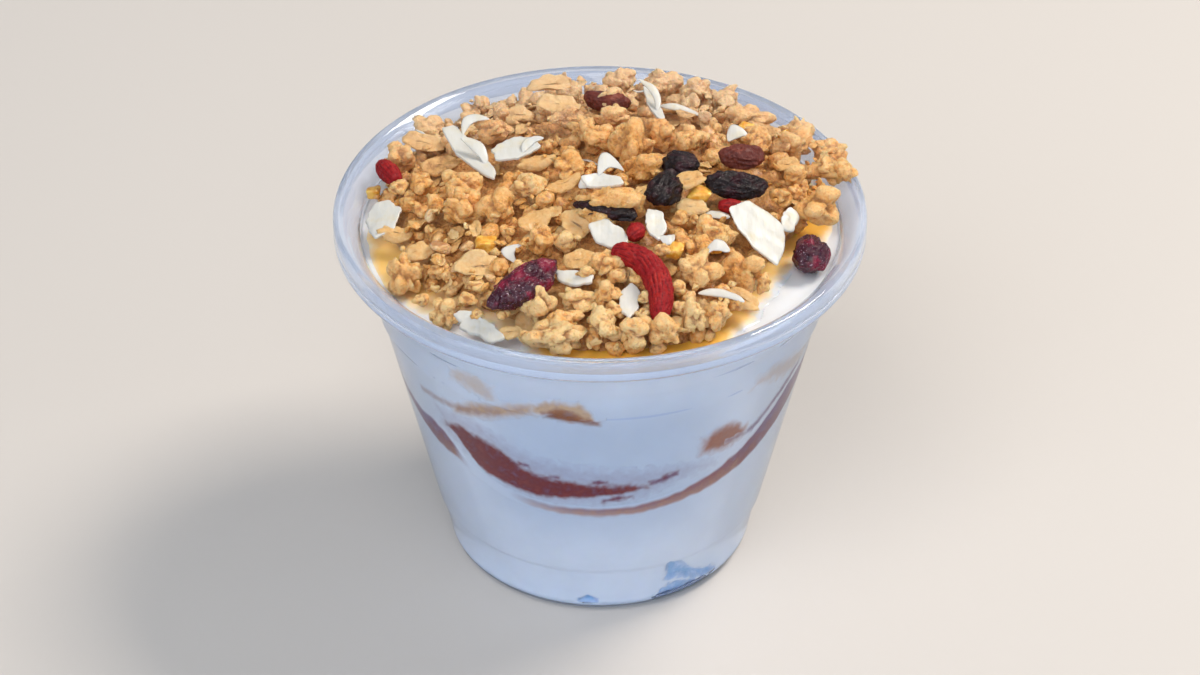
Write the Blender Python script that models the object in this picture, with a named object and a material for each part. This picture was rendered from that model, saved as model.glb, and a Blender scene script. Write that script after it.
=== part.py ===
"""Clear cup of layered yogurt under a heap of muesli, dried fruit and coconut.

The cup is a thin turned shell with a rolled rim and a foot ring. The filling
is a stack of solids turned on the same 48 sides, so every layer keeps an even
gap to the wall. The muesli is one core with its clusters fused on, and each
larger topping is its own solid laid on that core.

Sizes below are in millimetres and are scaled to metres once, in `publish`.
The origin is the centre of the foot on the table, +Z is up, and -Y is the
front.
"""
import math
import random

import bmesh
import bpy
from mathutils import Matrix, Vector, noise
from mathutils.bvhtree import BVHTree

MM = 0.001
SIDES = 48
GAP = 0.3              # clearance between neighbouring solids

# Cup
CUP_H = 73.5
WALL = 0.8
WALL_FOOT_R = 29.3     # outer wall radius at WALL_FOOT_Z
WALL_FOOT_Z = 4.0
WALL_SLOPE = 15.5 / 65.5
CORNER_R = 3.2
FOOT_RING_IN = 23.4
FLOOR_RAISE = 1.6
FLOOR_FLAT_R = 21.0
STEPS = ((11.6, 0.22), (54.8, 0.14), (61.8, 0.22))   # height, half step

# Filling
FILL_TOP = 68.0
FILL_CROWN = 0.9
SAUCE_CENTRE_Z = 37.0

# Heap
HEAP_R = 42.7
HEAP_CHORD = 35.5      # the heap stops on this chord, leaving bare yogurt
HEAP_CHORD_DIR = math.radians(-30)
HEAP_EDGE = 1.2
HEAP_DOME = 7.2
HEAP_LEAN = 2.5        # extra height towards the back right

COLOURS = {
    "cup": ((0.72, 0.80, 0.93), 0.12),
    "yogurt": ((0.93, 0.94, 0.93), 0.45),
    "sauce": ((0.24, 0.05, 0.05), 0.35),
    "granola": ((0.72, 0.45, 0.19), 0.80),
    "goji": ((0.60, 0.03, 0.02), 0.45),
    "cranberry": ((0.10, 0.01, 0.03), 0.35),
    "raisin": ((0.04, 0.01, 0.03), 0.40),
    "coconut": ((0.93, 0.89, 0.78), 0.60),
}


# --------------------------------------------------------------- mesh helpers
def clear_scene():
    """Remove every object of the scene."""
    for obj in list(bpy.data.objects):
        bpy.data.objects.remove(obj, do_unlink=True)


def material(kind):
    """Return the Principled material of one kind, making it once."""
    found = bpy.data.materials.get(kind)
    if found:
        return found
    colour, rough = COLOURS[kind]
    mat = bpy.data.materials.new(kind)
    mat.use_nodes = True
    shader = mat.node_tree.nodes["Principled BSDF"]
    shader.inputs["Base Color"].default_value = (*colour, 1.0)
    shader.inputs["Roughness"].default_value = rough
    shader.inputs["Metallic"].default_value = 0.0
    return mat


def publish(bm, name, kind, smooth_angle=40):
    """Scale a millimetre mesh to metres and link it as a named object."""
    bmesh.ops.recalc_face_normals(bm, faces=bm.faces)
    bmesh.ops.scale(bm, vec=(MM, MM, MM), verts=bm.verts)
    mesh = bpy.data.meshes.new(name)
    bm.to_mesh(mesh)
    bm.free()
    mesh.shade_smooth()
    mesh.set_sharp_from_angle(angle=math.radians(smooth_angle))
    mesh.materials.append(material(kind))
    obj = bpy.data.objects.new(name, mesh)
    bpy.context.scene.collection.objects.link(obj)
    return obj


def turned(profile, closed=True):
    """Spin a profile of (radius, height) points about +Z."""
    bm = bmesh.new()
    verts = [bm.verts.new((r, 0.0, z)) for r, z in profile]
    ends = verts[1:] + ([verts[0]] if closed else [])
    edges = [bm.edges.new((a, b)) for a, b in zip(verts, ends)]
    bmesh.ops.spin(bm, geom=verts + edges, cent=(0, 0, 0), axis=(0, 0, 1),
                   angle=math.tau, steps=SIDES, use_merge=True)
    bmesh.ops.remove_doubles(bm, verts=bm.verts, dist=1e-4)
    loose = [e for e in bm.edges if not e.link_faces]
    bmesh.ops.delete(bm, geom=loose, context="EDGES")
    return bm


def evaluated(obj):
    """Return a bmesh of an object with its modifiers applied, in millimetres."""
    graph = bpy.context.evaluated_depsgraph_get()
    bm = bmesh.new()
    bm.from_mesh(obj.evaluated_get(graph).to_mesh())
    bmesh.ops.scale(bm, vec=(1 / MM,) * 3, verts=bm.verts)
    return bm


def cutter(bm, name):
    """Turn a millimetre mesh into a hidden Boolean cutter."""
    obj = publish(bm, name, "yogurt")
    obj.hide_render = True
    obj.display_type = "WIRE"
    return obj


def subtract(target, tools):
    """Cut a group of tools from the target with one Boolean."""
    group = bpy.data.collections.new("cutters of " + target.name)
    bpy.context.scene.collection.children.link(group)
    for tool in tools:
        bpy.context.scene.collection.objects.unlink(tool)
        group.objects.link(tool)
    mod = target.modifiers.new("pockets", "BOOLEAN")
    mod.operation = "DIFFERENCE"
    mod.solver = "EXACT"
    mod.operand_type = "COLLECTION"
    mod.collection = group


def smooth_step(value, low, high):
    """Ease from 0 at low to 1 at high."""
    t = max(0.0, min(1.0, (value - low) / (high - low)))
    return t * t * (3 - 2 * t)


def along(table, angle):
    """Read a table of (angle in degrees, value, ...) rows at one angle."""
    if angle <= table[0][0]:
        return table[0][1:]
    for a, b in zip(table, table[1:]):
        if angle <= b[0]:
            t = (angle - a[0]) / (b[0] - a[0])
            return tuple(p + (q - p) * t for p, q in zip(a[1:], b[1:]))
    return table[-1][1:]


# ------------------------------------------------------------------------ cup
def wall_line(z):
    """Outer wall radius at a height, without its small steps."""
    return WALL_FOOT_R + (z - WALL_FOOT_Z) * WALL_SLOPE


def fill_radius(z):
    """Largest radius that the filling may have at a height."""
    inner = CORNER_R - WALL
    centre = wall_line(CORNER_R) - CORNER_R
    if z < CORNER_R:
        drop = min(CORNER_R - z, inner)
        edge = centre + math.sqrt(max(inner * inner - drop * drop, 0.0))
    else:
        edge = wall_line(z) - WALL
    return edge - GAP - 0.25


def corner(radius, steps=3):
    """Quarter arc of the foot corner, from the foot up to the wall."""
    centre = wall_line(CORNER_R) - CORNER_R
    arc = [math.radians(90 * i / steps) for i in range(steps + 1)]
    return [(centre + radius * math.sin(a), CORNER_R - radius * math.cos(a))
            for a in arc]


def build_cup():
    """Thin turned shell: raised floor, foot ring, stepped wall, rolled rim."""
    outer = [(0.0, FLOOR_RAISE), (FLOOR_FLAT_R, FLOOR_RAISE),
             (FOOT_RING_IN, 0.0)] + corner(CORNER_R)
    inner = [(0.0, FLOOR_RAISE + WALL), (FLOOR_FLAT_R + 0.2, FLOOR_RAISE + WALL),
             (FOOT_RING_IN + 0.3, WALL)] + corner(CORNER_R - WALL)
    for height, half in STEPS:
        for z, sign in ((height - 0.35, -1), (height + 0.35, 1)):
            radius = wall_line(z) + sign * half
            outer.append((radius, z))
            inner.append((radius - WALL, z))
    rim = [(44.75, 69.7), (47.6, 70.1), (48.6, 70.6), (49.0, 71.4),
           (49.0, 72.4), (48.4, 73.2), (47.4, CUP_H), (46.4, 73.3),
           (45.3, 72.6), (44.3, 71.3)]
    return publish(turned(outer + rim + inner[::-1]), "cup", "cup")


# -------------------------------------------------------------------- filling
def shaped_solid(rings, levels, radius, lower, upper):
    """Turn a block on the cup's sides, then pull it between two surfaces.

    `rings` are radius fractions of the flat faces and `levels` are height
    fractions of the side. `radius(angle, z)`, `lower(angle, fraction)` and
    `upper(angle, fraction)` give the outline and the two faces.
    """
    profile = [(f, 0.0) for f in rings]
    profile += [(1.0, v) for v in levels]
    profile += [(f, 1.0) for f in reversed(rings)]
    bm = turned(profile, closed=False)
    for vert in bm.verts:
        x, y, level = vert.co
        fraction = min(math.hypot(x, y), 1.0)
        angle = math.degrees(math.atan2(y, x))
        low, high = lower(angle, fraction), upper(angle, fraction)
        z = low + (high - low) * level
        reach = fraction * radius(angle, z)
        turn = math.radians(angle)
        vert.co = (reach * math.cos(turn), reach * math.sin(turn), z)
    bmesh.ops.triangulate(bm, faces=bm.faces)
    return bm


# Mid height of the berry layer at the wall, and its thickness, by angle.
SAUCE_WALL = ((-180, 45.0, 1.6), (-160, 41.0, 2.4), (-150, 38.0, 4.2),
              (-142, 35.8, 3.6), (-135, 33.4, 1.4), (-120, 30.8, 1.2),
              (-105, 29.4, 1.2), (-90, 29.2, 1.4), (-78, 29.6, 1.5),
              (-66, 31.2, 1.7), (-55, 33.2, 2.1), (-45, 36.0, 2.3),
              (-36, 39.6, 4.0), (-27, 43.0, 6.0), (-15, 46.0, 4.0),
              (10, 48.0, 2.4), (60, 49.0, 1.8), (120, 48.5, 1.6),
              (180, 45.0, 1.6))


def sauce_mid(angle, fraction):
    """Mid height of the berry layer anywhere in the cup."""
    at_wall = along(SAUCE_WALL, angle)[0]
    wave = 0.8 * math.sin(math.radians(3 * angle)) * fraction * (1 - fraction)
    return SAUCE_CENTRE_Z + (at_wall - SAUCE_CENTRE_Z) * fraction ** 1.6 + wave


def sauce_half(angle, fraction):
    """Half thickness of the berry layer, thicker towards the wall."""
    at_wall = along(SAUCE_WALL, angle)[1] / 2
    return 0.6 + (at_wall - 0.6) * fraction ** 4


def fill_top(x, y):
    """Top surface of the yogurt, with a soft fold at the bare front right."""
    r = math.hypot(x, y)
    fold = 0.35 * math.sin(x * 0.16 + 0.8) * math.cos(y * 0.13)
    return FILL_TOP + FILL_CROWN * (1 - (r / 43.0) ** 2) + fold * (r / 43.0)


def cup_floor(_angle, fraction):
    """Underside of the filling, clear of the cup's raised floor."""
    r = fraction * fill_radius(WALL + GAP)
    dip = smooth_step(r, FLOOR_FLAT_R + 0.3, FOOT_RING_IN + 0.8)
    return (FLOOR_RAISE + WALL + GAP) - dip * (FLOOR_RAISE - 0.05)


def wall_outline(_angle, z):
    """The filling's outline at a height."""
    return fill_radius(z)


def polar(surface, radius):
    """Read a surface of (x, y) by angle and radius fraction."""
    def read(angle, fraction):
        reach = fraction * (radius(angle) if callable(radius) else radius)
        turn = math.radians(angle)
        return surface(reach * math.cos(turn), reach * math.sin(turn))
    return read


# Wall streaks: angle, low height, high height, depth into the filling.
SWIRL = ((-138.0, 42.6, 44.0, 3.0), (-135.0, 41.6, 44.4, 6.0),
         (-127.5, 38.3, 44.0, 9.0), (-120.0, 34.8, 42.6, 11.0),
         (-112.5, 33.3, 39.4, 12.0), (-105.0, 33.2, 38.4, 12.0),
         (-97.5, 33.1, 37.5, 11.0), (-90.0, 33.4, 37.3, 9.0),
         (-82.5, 34.2, 37.2, 7.0), (-75.0, 34.9, 37.0, 4.0),
         (-70.0, 36.6, 37.9, 2.5))
SEAM = ((-144.0, 48.4, 49.8, 3.0), (-135.0, 48.6, 51.0, 5.0),
        (-127.5, 49.0, 52.4, 6.0), (-120.0, 50.2, 53.8, 7.0),
        (-112.5, 52.6, 56.4, 7.0), (-105.0, 54.9, 58.6, 7.0),
        (-97.5, 54.9, 58.8, 6.0), (-91.5, 54.6, 56.8, 3.0))


def wall_chord(angle, z):
    """The outline's radius at an angle, measured on the flats of its sides."""
    half = 180.0 / SIDES
    off = (angle % (2 * half)) - half
    return fill_radius(z) * math.cos(math.radians(half)) / math.cos(math.radians(off))


def streak(stations, grow=0.0):
    """Lens lying on the wall, skinned through one section per station."""
    bm = bmesh.new()
    loops = []
    rows = list(stations)
    if grow:
        first, last = rows[0], rows[-1]
        rows[0] = (first[0] - 0.9, *first[1:])
        rows[-1] = (last[0] + 0.9, *last[1:])
    for angle, low, high, depth in rows:
        low, high, depth = low - grow, high + grow, depth + grow
        mid, out = (low + high) / 2, 1.5 if grow else 0.0
        section = ((low, 0.0), (high, 0.0), (high - 0.1, 0.4),
                   (mid + 0.3 + grow, 1.0), (mid - 0.3 - grow, 1.0), (low + 0.1, 0.4))
        turn = math.radians(angle)
        ring = []
        for z, inward in section:
            reach = wall_chord(angle, z) + (out if inward == 0.0 else 0.0)
            reach -= inward * depth
            ring.append(bm.verts.new((reach * math.cos(turn),
                                      reach * math.sin(turn), z)))
        loops.append([bm.edges.new((ring[i - 1], ring[i])) for i in range(6)])
    for a, b in zip(loops, loops[1:]):
        bmesh.ops.bridge_loops(bm, edges=a + b)
    bmesh.ops.holes_fill(bm, edges=loops[0] + loops[-1], sides=6)
    bmesh.ops.triangulate(bm, faces=bm.faces, quad_method="FIXED")
    return bm


def pebble(centre, size, seed, rough=0.18, detail=2):
    """Lumpy stone shape from a sphere, pushed in and out by noise."""
    bm = bmesh.new()
    bmesh.ops.create_icosphere(bm, subdivisions=detail, radius=1.0)
    for vert in bm.verts:
        push = 1 + rough * noise.noise(vert.co * 1.7 + Vector((seed, 3.1, 0.7)))
        vert.co = Vector(vert.co[i] * size[i] * push for i in range(3))
    bmesh.ops.translate(bm, vec=centre, verts=bm.verts)
    return bm


def wall_pebble(angle, z, size, seed, sink):
    """A pebble turned to face the wall and sunk inwards from it."""
    bm = pebble((0, 0, 0), size, seed)
    reach = wall_chord(angle, z) - sink
    turn = Matrix.Rotation(math.radians(angle), 4, "Z")
    move = Matrix.Translation((0, 0, z)) @ turn @ Matrix.Translation((reach, 0, 0))
    bmesh.ops.transform(bm, matrix=move, verts=bm.verts)
    return bm


def build_filling():
    """Two yogurt layers, the berry layer between them and what they hold."""
    rings = (0.0, 0.5, 0.79, 0.9, 1.0)

    def sauce_low(angle, fraction):
        return sauce_mid(angle, fraction) - sauce_half(angle, fraction)

    def sauce_high(angle, fraction):
        return sauce_mid(angle, fraction) + sauce_half(angle, fraction)

    lower = shaped_solid(rings, (0.025, 0.06, 0.11, 0.5), wall_outline,
                         cup_floor,
                         lambda a, f: sauce_low(a, f) - GAP)
    lower = publish(lower, "yogurt_lower", "yogurt")
    publish(shaped_solid(rings, (0.5,), wall_outline, sauce_low, sauce_high),
            "berry_sauce", "sauce")
    upper = shaped_solid(rings, (0.3, 0.6), wall_outline,
                         lambda a, f: sauce_high(a, f) + GAP,
                         polar(fill_top, fill_radius(FILL_TOP)))
    upper = publish(upper, "yogurt_upper", "yogurt")

    publish(streak(SWIRL), "sauce_swirl", "sauce")
    publish(streak(SEAM), "oat_seam", "granola")
    patch = (-54.0, 43.6, (2.2, 3.2, 2.1))
    publish(wall_pebble(*patch, 5.0, 2.9), "buried_granola", "granola")
    grown = tuple(s + GAP + 0.25 for s in patch[2])
    subtract(upper, [
        cutter(streak(SWIRL, GAP), "cut_swirl"),
        cutter(streak(SEAM, GAP), "cut_seam"),
        cutter(wall_pebble(*patch[:2], grown, 5.0, 2.9), "cut_patch")])
    subtract(lower, [
        cutter(wall_pebble(-58.0, 5.6, (3.6, 6.2, 4.6), 1.0, 0.4), "air_big"),
        cutter(wall_pebble(-93.0, 3.4, (2.2, 2.6, 1.6), 8.0, 0.6), "air_small")])
    return upper


# ----------------------------------------------------------------------- heap
def heap_radius(angle):
    """Outline of the heap: round, cut by a chord at the front right."""
    turn = math.cos(math.radians(angle) - HEAP_CHORD_DIR)
    if turn > 0.1:
        return min(HEAP_R, HEAP_CHORD / turn)
    return HEAP_R


def heap_top(x, y):
    """Mean surface of the heap without the pieces that lie on it."""
    s = math.hypot(x, y) / heap_radius(math.degrees(math.atan2(y, x)))
    dome = HEAP_DOME * max(0.0, 1 - s * s) ** 0.8
    lean = HEAP_LEAN * (1 + (x + y) / 60.8)
    return fill_top(x, y) + GAP + HEAP_EDGE + dome + lean


def heap_core():
    """The plain body of the heap, standing on the yogurt."""
    rings = (0.0, 0.3, 0.55, 0.76, 0.9, 1.0)
    return shaped_solid(rings, (0.5,), lambda a, z: heap_radius(a),
                        polar(lambda x, y: fill_top(x, y) + GAP + 0.1, heap_radius),
                        polar(heap_top, heap_radius))


class Ground:
    """What a topping can lie on: the heap's core and the bare yogurt."""

    def __init__(self, *meshes):
        """Keep one search tree for each millimetre mesh, and its upper points."""
        self.trees = [BVHTree.FromBMesh(bm) for bm in meshes]
        self.peaks = [v.co.copy() for bm in meshes for v in bm.verts
                      if v.co.z > FILL_TOP - 2]

    def height(self, x, y):
        """Height of the highest surface below one place."""
        down = Vector((0, 0, -1))
        hits = [t.ray_cast(Vector((x, y, 200)), down)[0] for t in self.trees]
        return max([h.z for h in hits if h] or [FILL_TOP])

    def settle(self, bm, lift=0.0, clear=GAP + 0.05):
        """Raise or drop a piece until it just clears the ground."""
        spots = [v.co for v in bm.verts] + [f.calc_center_median() for f in bm.faces]
        spots += [(e.verts[0].co + e.verts[1].co) / 2 for e in bm.edges]
        gap = min(p.z - self.height(p.x, p.y) for p in spots)
        piece = BVHTree.FromBMesh(bm)
        for peak in self.peaks:
            hit = piece.ray_cast(Vector((peak.x, peak.y, -50)), Vector((0, 0, 1)))[0]
            if hit and peak.z >= self.height(peak.x, peak.y) - 0.01:
                gap = min(gap, hit.z - peak.z)
        bmesh.ops.translate(bm, vec=(0, 0, clear + lift - gap), verts=bm.verts)
        return bm


# Clusters read from the heap, largest first: x, y, radius.
CLUSTERS = ((-8, -39.8, 3.6), (6, 5, 3.6), (25, -21, 2.9), (-25, -8, 3.0),
            (-18, -11, 2.6), (-2, 9, 2.8), (-11, -34, 2.6), (-4, -19, 2.6),
            (-35, -21, 2.8), (-29, -30.5, 2.5), (43.6, 9.5, 3.0), (38, 17, 3.0),
            (39.5, 1.5, 2.8), (34.5, 2.5, 2.6), (16.4, -36.0, 2.4), (17.5, -25.5, 2.6),
            (5.6, -38.6, 2.3), (-35, -12, 2.4), (-15, -21, 2.4), (-26, -19, 2.4),
            (2, -34, 2.4), (-10, 0, 2.8), (-2, -0.5, 3.0), (24, 17, 2.8),
            (36, 22, 2.4), (27, 28, 2.8), (19, 33, 2.6), (10, 34, 3.0))
CLUSTER_COUNT = 52
CLUSTER_SEED = 11
CLUSTER_RISE = 0.45     # share of its radius that a cluster's centre is raised
CLUSTER_SWELL = 1.08    # how far its lumps reach past its radius


def cluster_height(x, y, top, radius):
    """Centre height of a cluster: sunk in the core, clear of the yogurt."""
    return max(top + CLUSTER_RISE * radius,
               fill_top(x, y) + 2 * GAP + CLUSTER_SWELL * radius)


def scatter_clusters(ground, toppings):
    """Place the named clusters, then smaller ones in the gaps left."""
    rng = random.Random(CLUSTER_SEED)
    placed = []
    wanted = [(x, y, r, r) for x, y, r in CLUSTERS]
    for _ in range(CLUSTER_COUNT * 12):
        reach = 41.5 * math.sqrt(rng.random())
        turn = rng.uniform(-math.pi, math.pi)
        radius = rng.uniform(1.5, 2.5)
        wanted.append((reach * math.cos(turn), reach * math.sin(turn), radius, 0))
    for x, y, radius, named in wanted:
        if len(placed) >= CLUSTER_COUNT:
            break
        reach = math.hypot(x, y)
        edge = heap_radius(math.degrees(math.atan2(y, x)))
        top = ground.height(x, y)
        if not named and (reach > edge - radius - 0.4
                          or any(math.hypot(x - p[0], y - p[1]) < 0.8 * (radius + p[3])
                                 for p in placed)):
            continue
        centre = Vector((x, y, cluster_height(x, y, top, radius)))
        near = min(tree.find_nearest(centre)[3] for tree in toppings)
        if near < radius * CLUSTER_SWELL + GAP:
            if not named or near < 1.2 * CLUSTER_SWELL + GAP:
                continue
            radius = (near - GAP) / CLUSTER_SWELL
        placed.append((x, y, top, radius))
    return placed


def build_muesli(ground, toppings):
    """Fuse the clusters onto the heap's core and return the one solid."""
    core = publish(heap_core(), "muesli", "granola")
    group = bpy.data.collections.new("clusters")
    bpy.context.scene.collection.children.link(group)
    for index, (x, y, top, radius) in enumerate(scatter_clusters(ground, toppings)):
        size = (radius, radius * 0.92, radius * 0.85)
        z = cluster_height(x, y, top, radius)
        limit = 43.3 if z - radius < CUP_H + 0.5 else 48.2
        reach = math.hypot(x, y)
        if reach + radius * 1.1 > limit:
            scale = (limit - radius * 1.1) / reach
            x, y = x * scale, y * scale
        bm = pebble((x, y, z), size, index * 1.37, 0.22, 1 if radius < 2.5 else 2)
        lump = publish(bm, "lump_%02d" % index, "granola")
        bpy.context.scene.collection.objects.unlink(lump)
        group.objects.link(lump)
    join = core.modifiers.new("clusters", "BOOLEAN")
    join.operation = "UNION"
    join.solver = "EXACT"
    join.operand_type = "COLLECTION"
    join.collection = group
    whole = evaluated(core)
    core.modifiers.clear()
    for lump in list(group.objects):
        bpy.data.objects.remove(lump, do_unlink=True)
    bpy.data.collections.remove(group)
    bmesh.ops.remove_doubles(whole, verts=whole.verts, dist=0.01)
    bmesh.ops.dissolve_degenerate(whole, dist=0.01, edges=whole.edges)
    bmesh.ops.triangulate(whole, faces=whole.faces)
    bmesh.ops.scale(whole, vec=(MM, MM, MM), verts=whole.verts)
    whole.to_mesh(core.data)
    whole.free()
    core.data.shade_smooth()
    core.data.set_sharp_from_angle(angle=math.radians(50))
    return core


# ------------------------------------------------------------------- toppings
# Goji berries: path points as (x, y, extra lift), then the thickest radius.
GOJI = {
    "goji_1": (((2.4, -23.8, 0.6), (5.6, -25.2, 0.9), (8.6, -27.4, 0.9),
                (10.4, -31.0, 0.6), (10.8, -34.8, 0.4), (10.3, -38.4, 0.2)), 2.6),
    "goji_2": (((5.4, -19.9, 0.3), (6.4, -18.5, 0.5), (7.4, -17.1, 0.4)), 1.7),
    "goji_3": (((-39.6, 12.2, 1.2), (-39.2, 9.2, 1.4), (-38.4, 5.4, 1.2)), 2.1),
    "goji_4": (((21.4, -9.0, 0.2), (23.6, -8.8, 0.3), (25.8, -8.2, 0.2)), 1.4),
}
# Cranberries and raisins: end points, radius across, radius upright, kind.
BERRIES = {
    "cranberry_1": ((-19.6, -34.8), (-7.2, -28.2), 3.5, 2.9, "cranberry"),
    "cranberry_2": ((34.9, -12.4), (41.0, -13.4), 3.9, 3.4, "cranberry"),
    "raisin_1": ((18.4, -5.2), (31.0, -3.4), 2.9, 2.6, "raisin"),
    "raisin_2": ((21.4, 3.6), (30.4, 4.6), 2.7, 2.5, "cranberry"),
    "raisin_3": ((12.6, -0.2), (17.8, 0.6), 2.4, 2.3, "raisin"),
    "raisin_4": ((9.2, -11.0), (13.4, -4.4), 2.2, 2.5, "raisin"),
    "raisin_5": ((-5.0, -9.8), (4.4, -13.6), 2.1, 1.9, "raisin"),
    "raisin_6": ((-3.4, 25.4), (6.0, 21.6), 2.3, 2.1, "cranberry"),
}
# Coconut chips: outline, extra lift, tilt axis angle, tilt, bow, thickness.
CHIPS = {
    "coconut_chip_1": (((23.4, -13.0), (27.0, -9.6), (31.0, -10.2), (34.4, -11.2),
                        (34.6, -13.8), (34.2, -17.2), (33.0, -20.8),
                        (29.0, -18.4), (25.6, -15.8)), 0.0, 60, 12, 0.8, 0.7),
    "coconut_chip_2": (((-39.2, -0.6), (-37.2, -3.6), (-38.0, -7.6), (-40.6, -8.8),
                        (-41.8, -6.6), (-42.0, -2.6), (-41.0, -0.4)), 0.3, 30, 4, 0.6, 0.7),
    "coconut_chip_3": (((-2.2, -16.8), (0.8, -15.6), (4.2, -18.2), (5.2, -21.2),
                        (2.4, -22.2), (-0.8, -20.6)), 0.8, 0, 8, 0.7, 0.7),
    "coconut_chip_4": (((10.0, -13.6), (11.8, -13.8), (12.8, -17.2), (11.6, -20.6),
                        (10.1, -18.8), (9.6, -15.8)), 1.2, 70, 8, 0.6, 0.7),
    "coconut_chip_5": (((-28.4, 16.6), (-26.2, 17.0), (-22.4, 9.8), (-19.6, 2.6),
                        (-19.8, -1.4), (-22.6, 2.6), (-26.0, 8.8)), 0.8, 60, 8, 1.4, 0.7),
    "coconut_chip_6": (((-19.4, 8.0), (-16.4, 10.6), (-12.4, 9.8), (-11.6, 7.4),
                        (-14.6, 5.4), (-18.4, 5.2)), 0.8, 10, 8, 0.6, 0.7),
    "coconut_chip_7": (((6.0, -30.0), (7.4, -31.2), (7.2, -35.0), (6.0, -37.6),
                        (4.4, -35.2), (4.6, -32.0)), 0.3, 80, 8, 0.5, 0.7),
    "coconut_chip_8": (((-6.0, -26.2), (-3.6, -26.0), (-0.6, -27.4), (-0.6, -29.2),
                        (-3.6, -29.4), (-5.8, -28.2)), 0.3, 10, 5, 0.5, 0.7),
    "coconut_chip_9": (((-3.6, -7.2), (-0.6, -5.6), (3.4, -6.8), (4.6, -8.8),
                        (1.4, -9.4), (-2.4, -9.0)), 3.4, 10, 10, 0.6, 0.7),
    "coconut_chip_10": (((-25.4, -32.4), (-22.6, -32.4), (-18.8, -35.6), (-16.4, -38.8),
                         (-19.6, -38.2), (-23.6, -35.2)), 0.1, 120, 3, 0.6, 0.7),
    "coconut_chip_11": (((35.0, -8.8), (37.2, -7.4), (38.2, -4.2), (36.4, -3.0),
                         (35.0, -5.8)), 0.3, 90, 6, 0.4, 0.7),
    "coconut_chip_12": (((7.4, 28.6), (9.0, 28.0), (12.0, 21.8), (12.8, 17.0),
                         (11.0, 16.8), (8.6, 22.2)), 0.8, 75, 10, 1.2, 0.7),
}


def goji(ground, path, radius, sides=8, steps=9):
    """Bent, tapering berry skinned through rings along a smooth path."""
    points = [Vector((x, y, ground.height(x, y) + radius + lift)) for x, y, lift in path]
    bm = bmesh.new()
    loops = []
    for i in range(steps + 1):
        t = i / steps * (len(points) - 1)
        k = min(int(t), len(points) - 2)
        before, after = points[max(k - 1, 0)], points[min(k + 2, len(points) - 1)]
        a, b, u = points[k], points[k + 1], t - int(k)
        spot = (a * (1 - u) + b * u) + 0.5 * u * (1 - u) * (
            (1 - u) * (b - before) * 0.5 - u * (after - a) * 0.5
            - (1 - 2 * u) * (b - a) * 0.5)
        ahead = (b - a).normalized()
        side = ahead.cross(Vector((0, 0, 1))).normalized()
        rise = side.cross(ahead)
        ends = math.sin(math.pi * (0.06 + 0.88 * i / steps)) ** 0.45
        ring = []
        for j in range(sides):
            turn = math.tau * j / sides
            reach = radius * ends * (1 + 0.06 * math.sin(5 * i + 3 * j))
            ring.append(bm.verts.new(spot + reach * (math.cos(turn) * side
                                                    + math.sin(turn) * rise)))
        loops.append([bm.edges.new((ring[j - 1], ring[j])) for j in range(sides)])
    for a, b in zip(loops, loops[1:]):
        bmesh.ops.bridge_loops(bm, edges=a + b)
    bmesh.ops.holes_fill(bm, edges=loops[0] + loops[-1], sides=sides)
    bmesh.ops.triangulate(bm, faces=bm.faces)
    return ground.settle(bm)


def berry(ground, start, end, across, upright, seed):
    """Wrinkled dried berry lying along a line on the heap."""
    a, b = Vector(start), Vector(end)
    half = (b - a).length / 2
    detail = 3 if half * across > 20 else 2
    bm = pebble((0, 0, 0), (half, across, upright), seed, 0.24, detail)
    mid, line = (a + b) / 2, b - a
    slope = (ground.height(*b) - ground.height(*a)) / line.length
    tip = Matrix.Rotation(-math.atan(slope), 4, "Y")
    turn = Matrix.Rotation(math.atan2(line.y, line.x), 4, "Z")
    move = Matrix.Translation((mid.x, mid.y, 80)) @ turn @ tip
    bmesh.ops.transform(bm, matrix=move, verts=bm.verts)
    return ground.settle(bm)


def chip(ground, outline, lift, axis, tilt, bow, thick, seed):
    """Thin wavy flake with both faces split into triangles alike."""
    bm = bmesh.new()
    face = bm.faces.new([bm.verts.new((x, y, 0)) for x, y in outline])
    bmesh.ops.inset_individual(bm, faces=[face], thickness=1.1, use_even_offset=True)
    bmesh.ops.poke(bm, faces=[f for f in bm.faces if len(f.verts) > 4])
    bmesh.ops.triangulate(bm, faces=bm.faces)
    middle = sum((v.co for v in bm.verts), Vector()) / len(bm.verts)
    reach = max((v.co - middle).length for v in bm.verts)
    for vert in bm.verts:
        off = (vert.co - middle).length / reach
        wave = 0.5 * noise.noise(vert.co * 0.25 + Vector((seed, 0, 0)))
        drape = max(ground.height(vert.co.x, vert.co.y),
                    heap_top(vert.co.x, vert.co.y)) - 80
        vert.co.z = drape + bow * off * off + wave
    lean = (Matrix.Translation(middle)
            @ Matrix.Rotation(math.radians(tilt), 4,
                              Vector((math.cos(math.radians(axis)),
                                      math.sin(math.radians(axis)), 0)))
            @ Matrix.Translation(-middle))
    bmesh.ops.transform(bm, matrix=lean, verts=bm.verts)
    raised = bmesh.ops.extrude_face_region(bm, geom=bm.faces[:])["geom"]
    verts = [g for g in raised if isinstance(g, bmesh.types.BMVert)]
    bmesh.ops.translate(bm, vec=(0, 0, thick), verts=verts)
    bmesh.ops.triangulate(bm, faces=bm.faces)
    return ground.settle(bm, lift)


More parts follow.
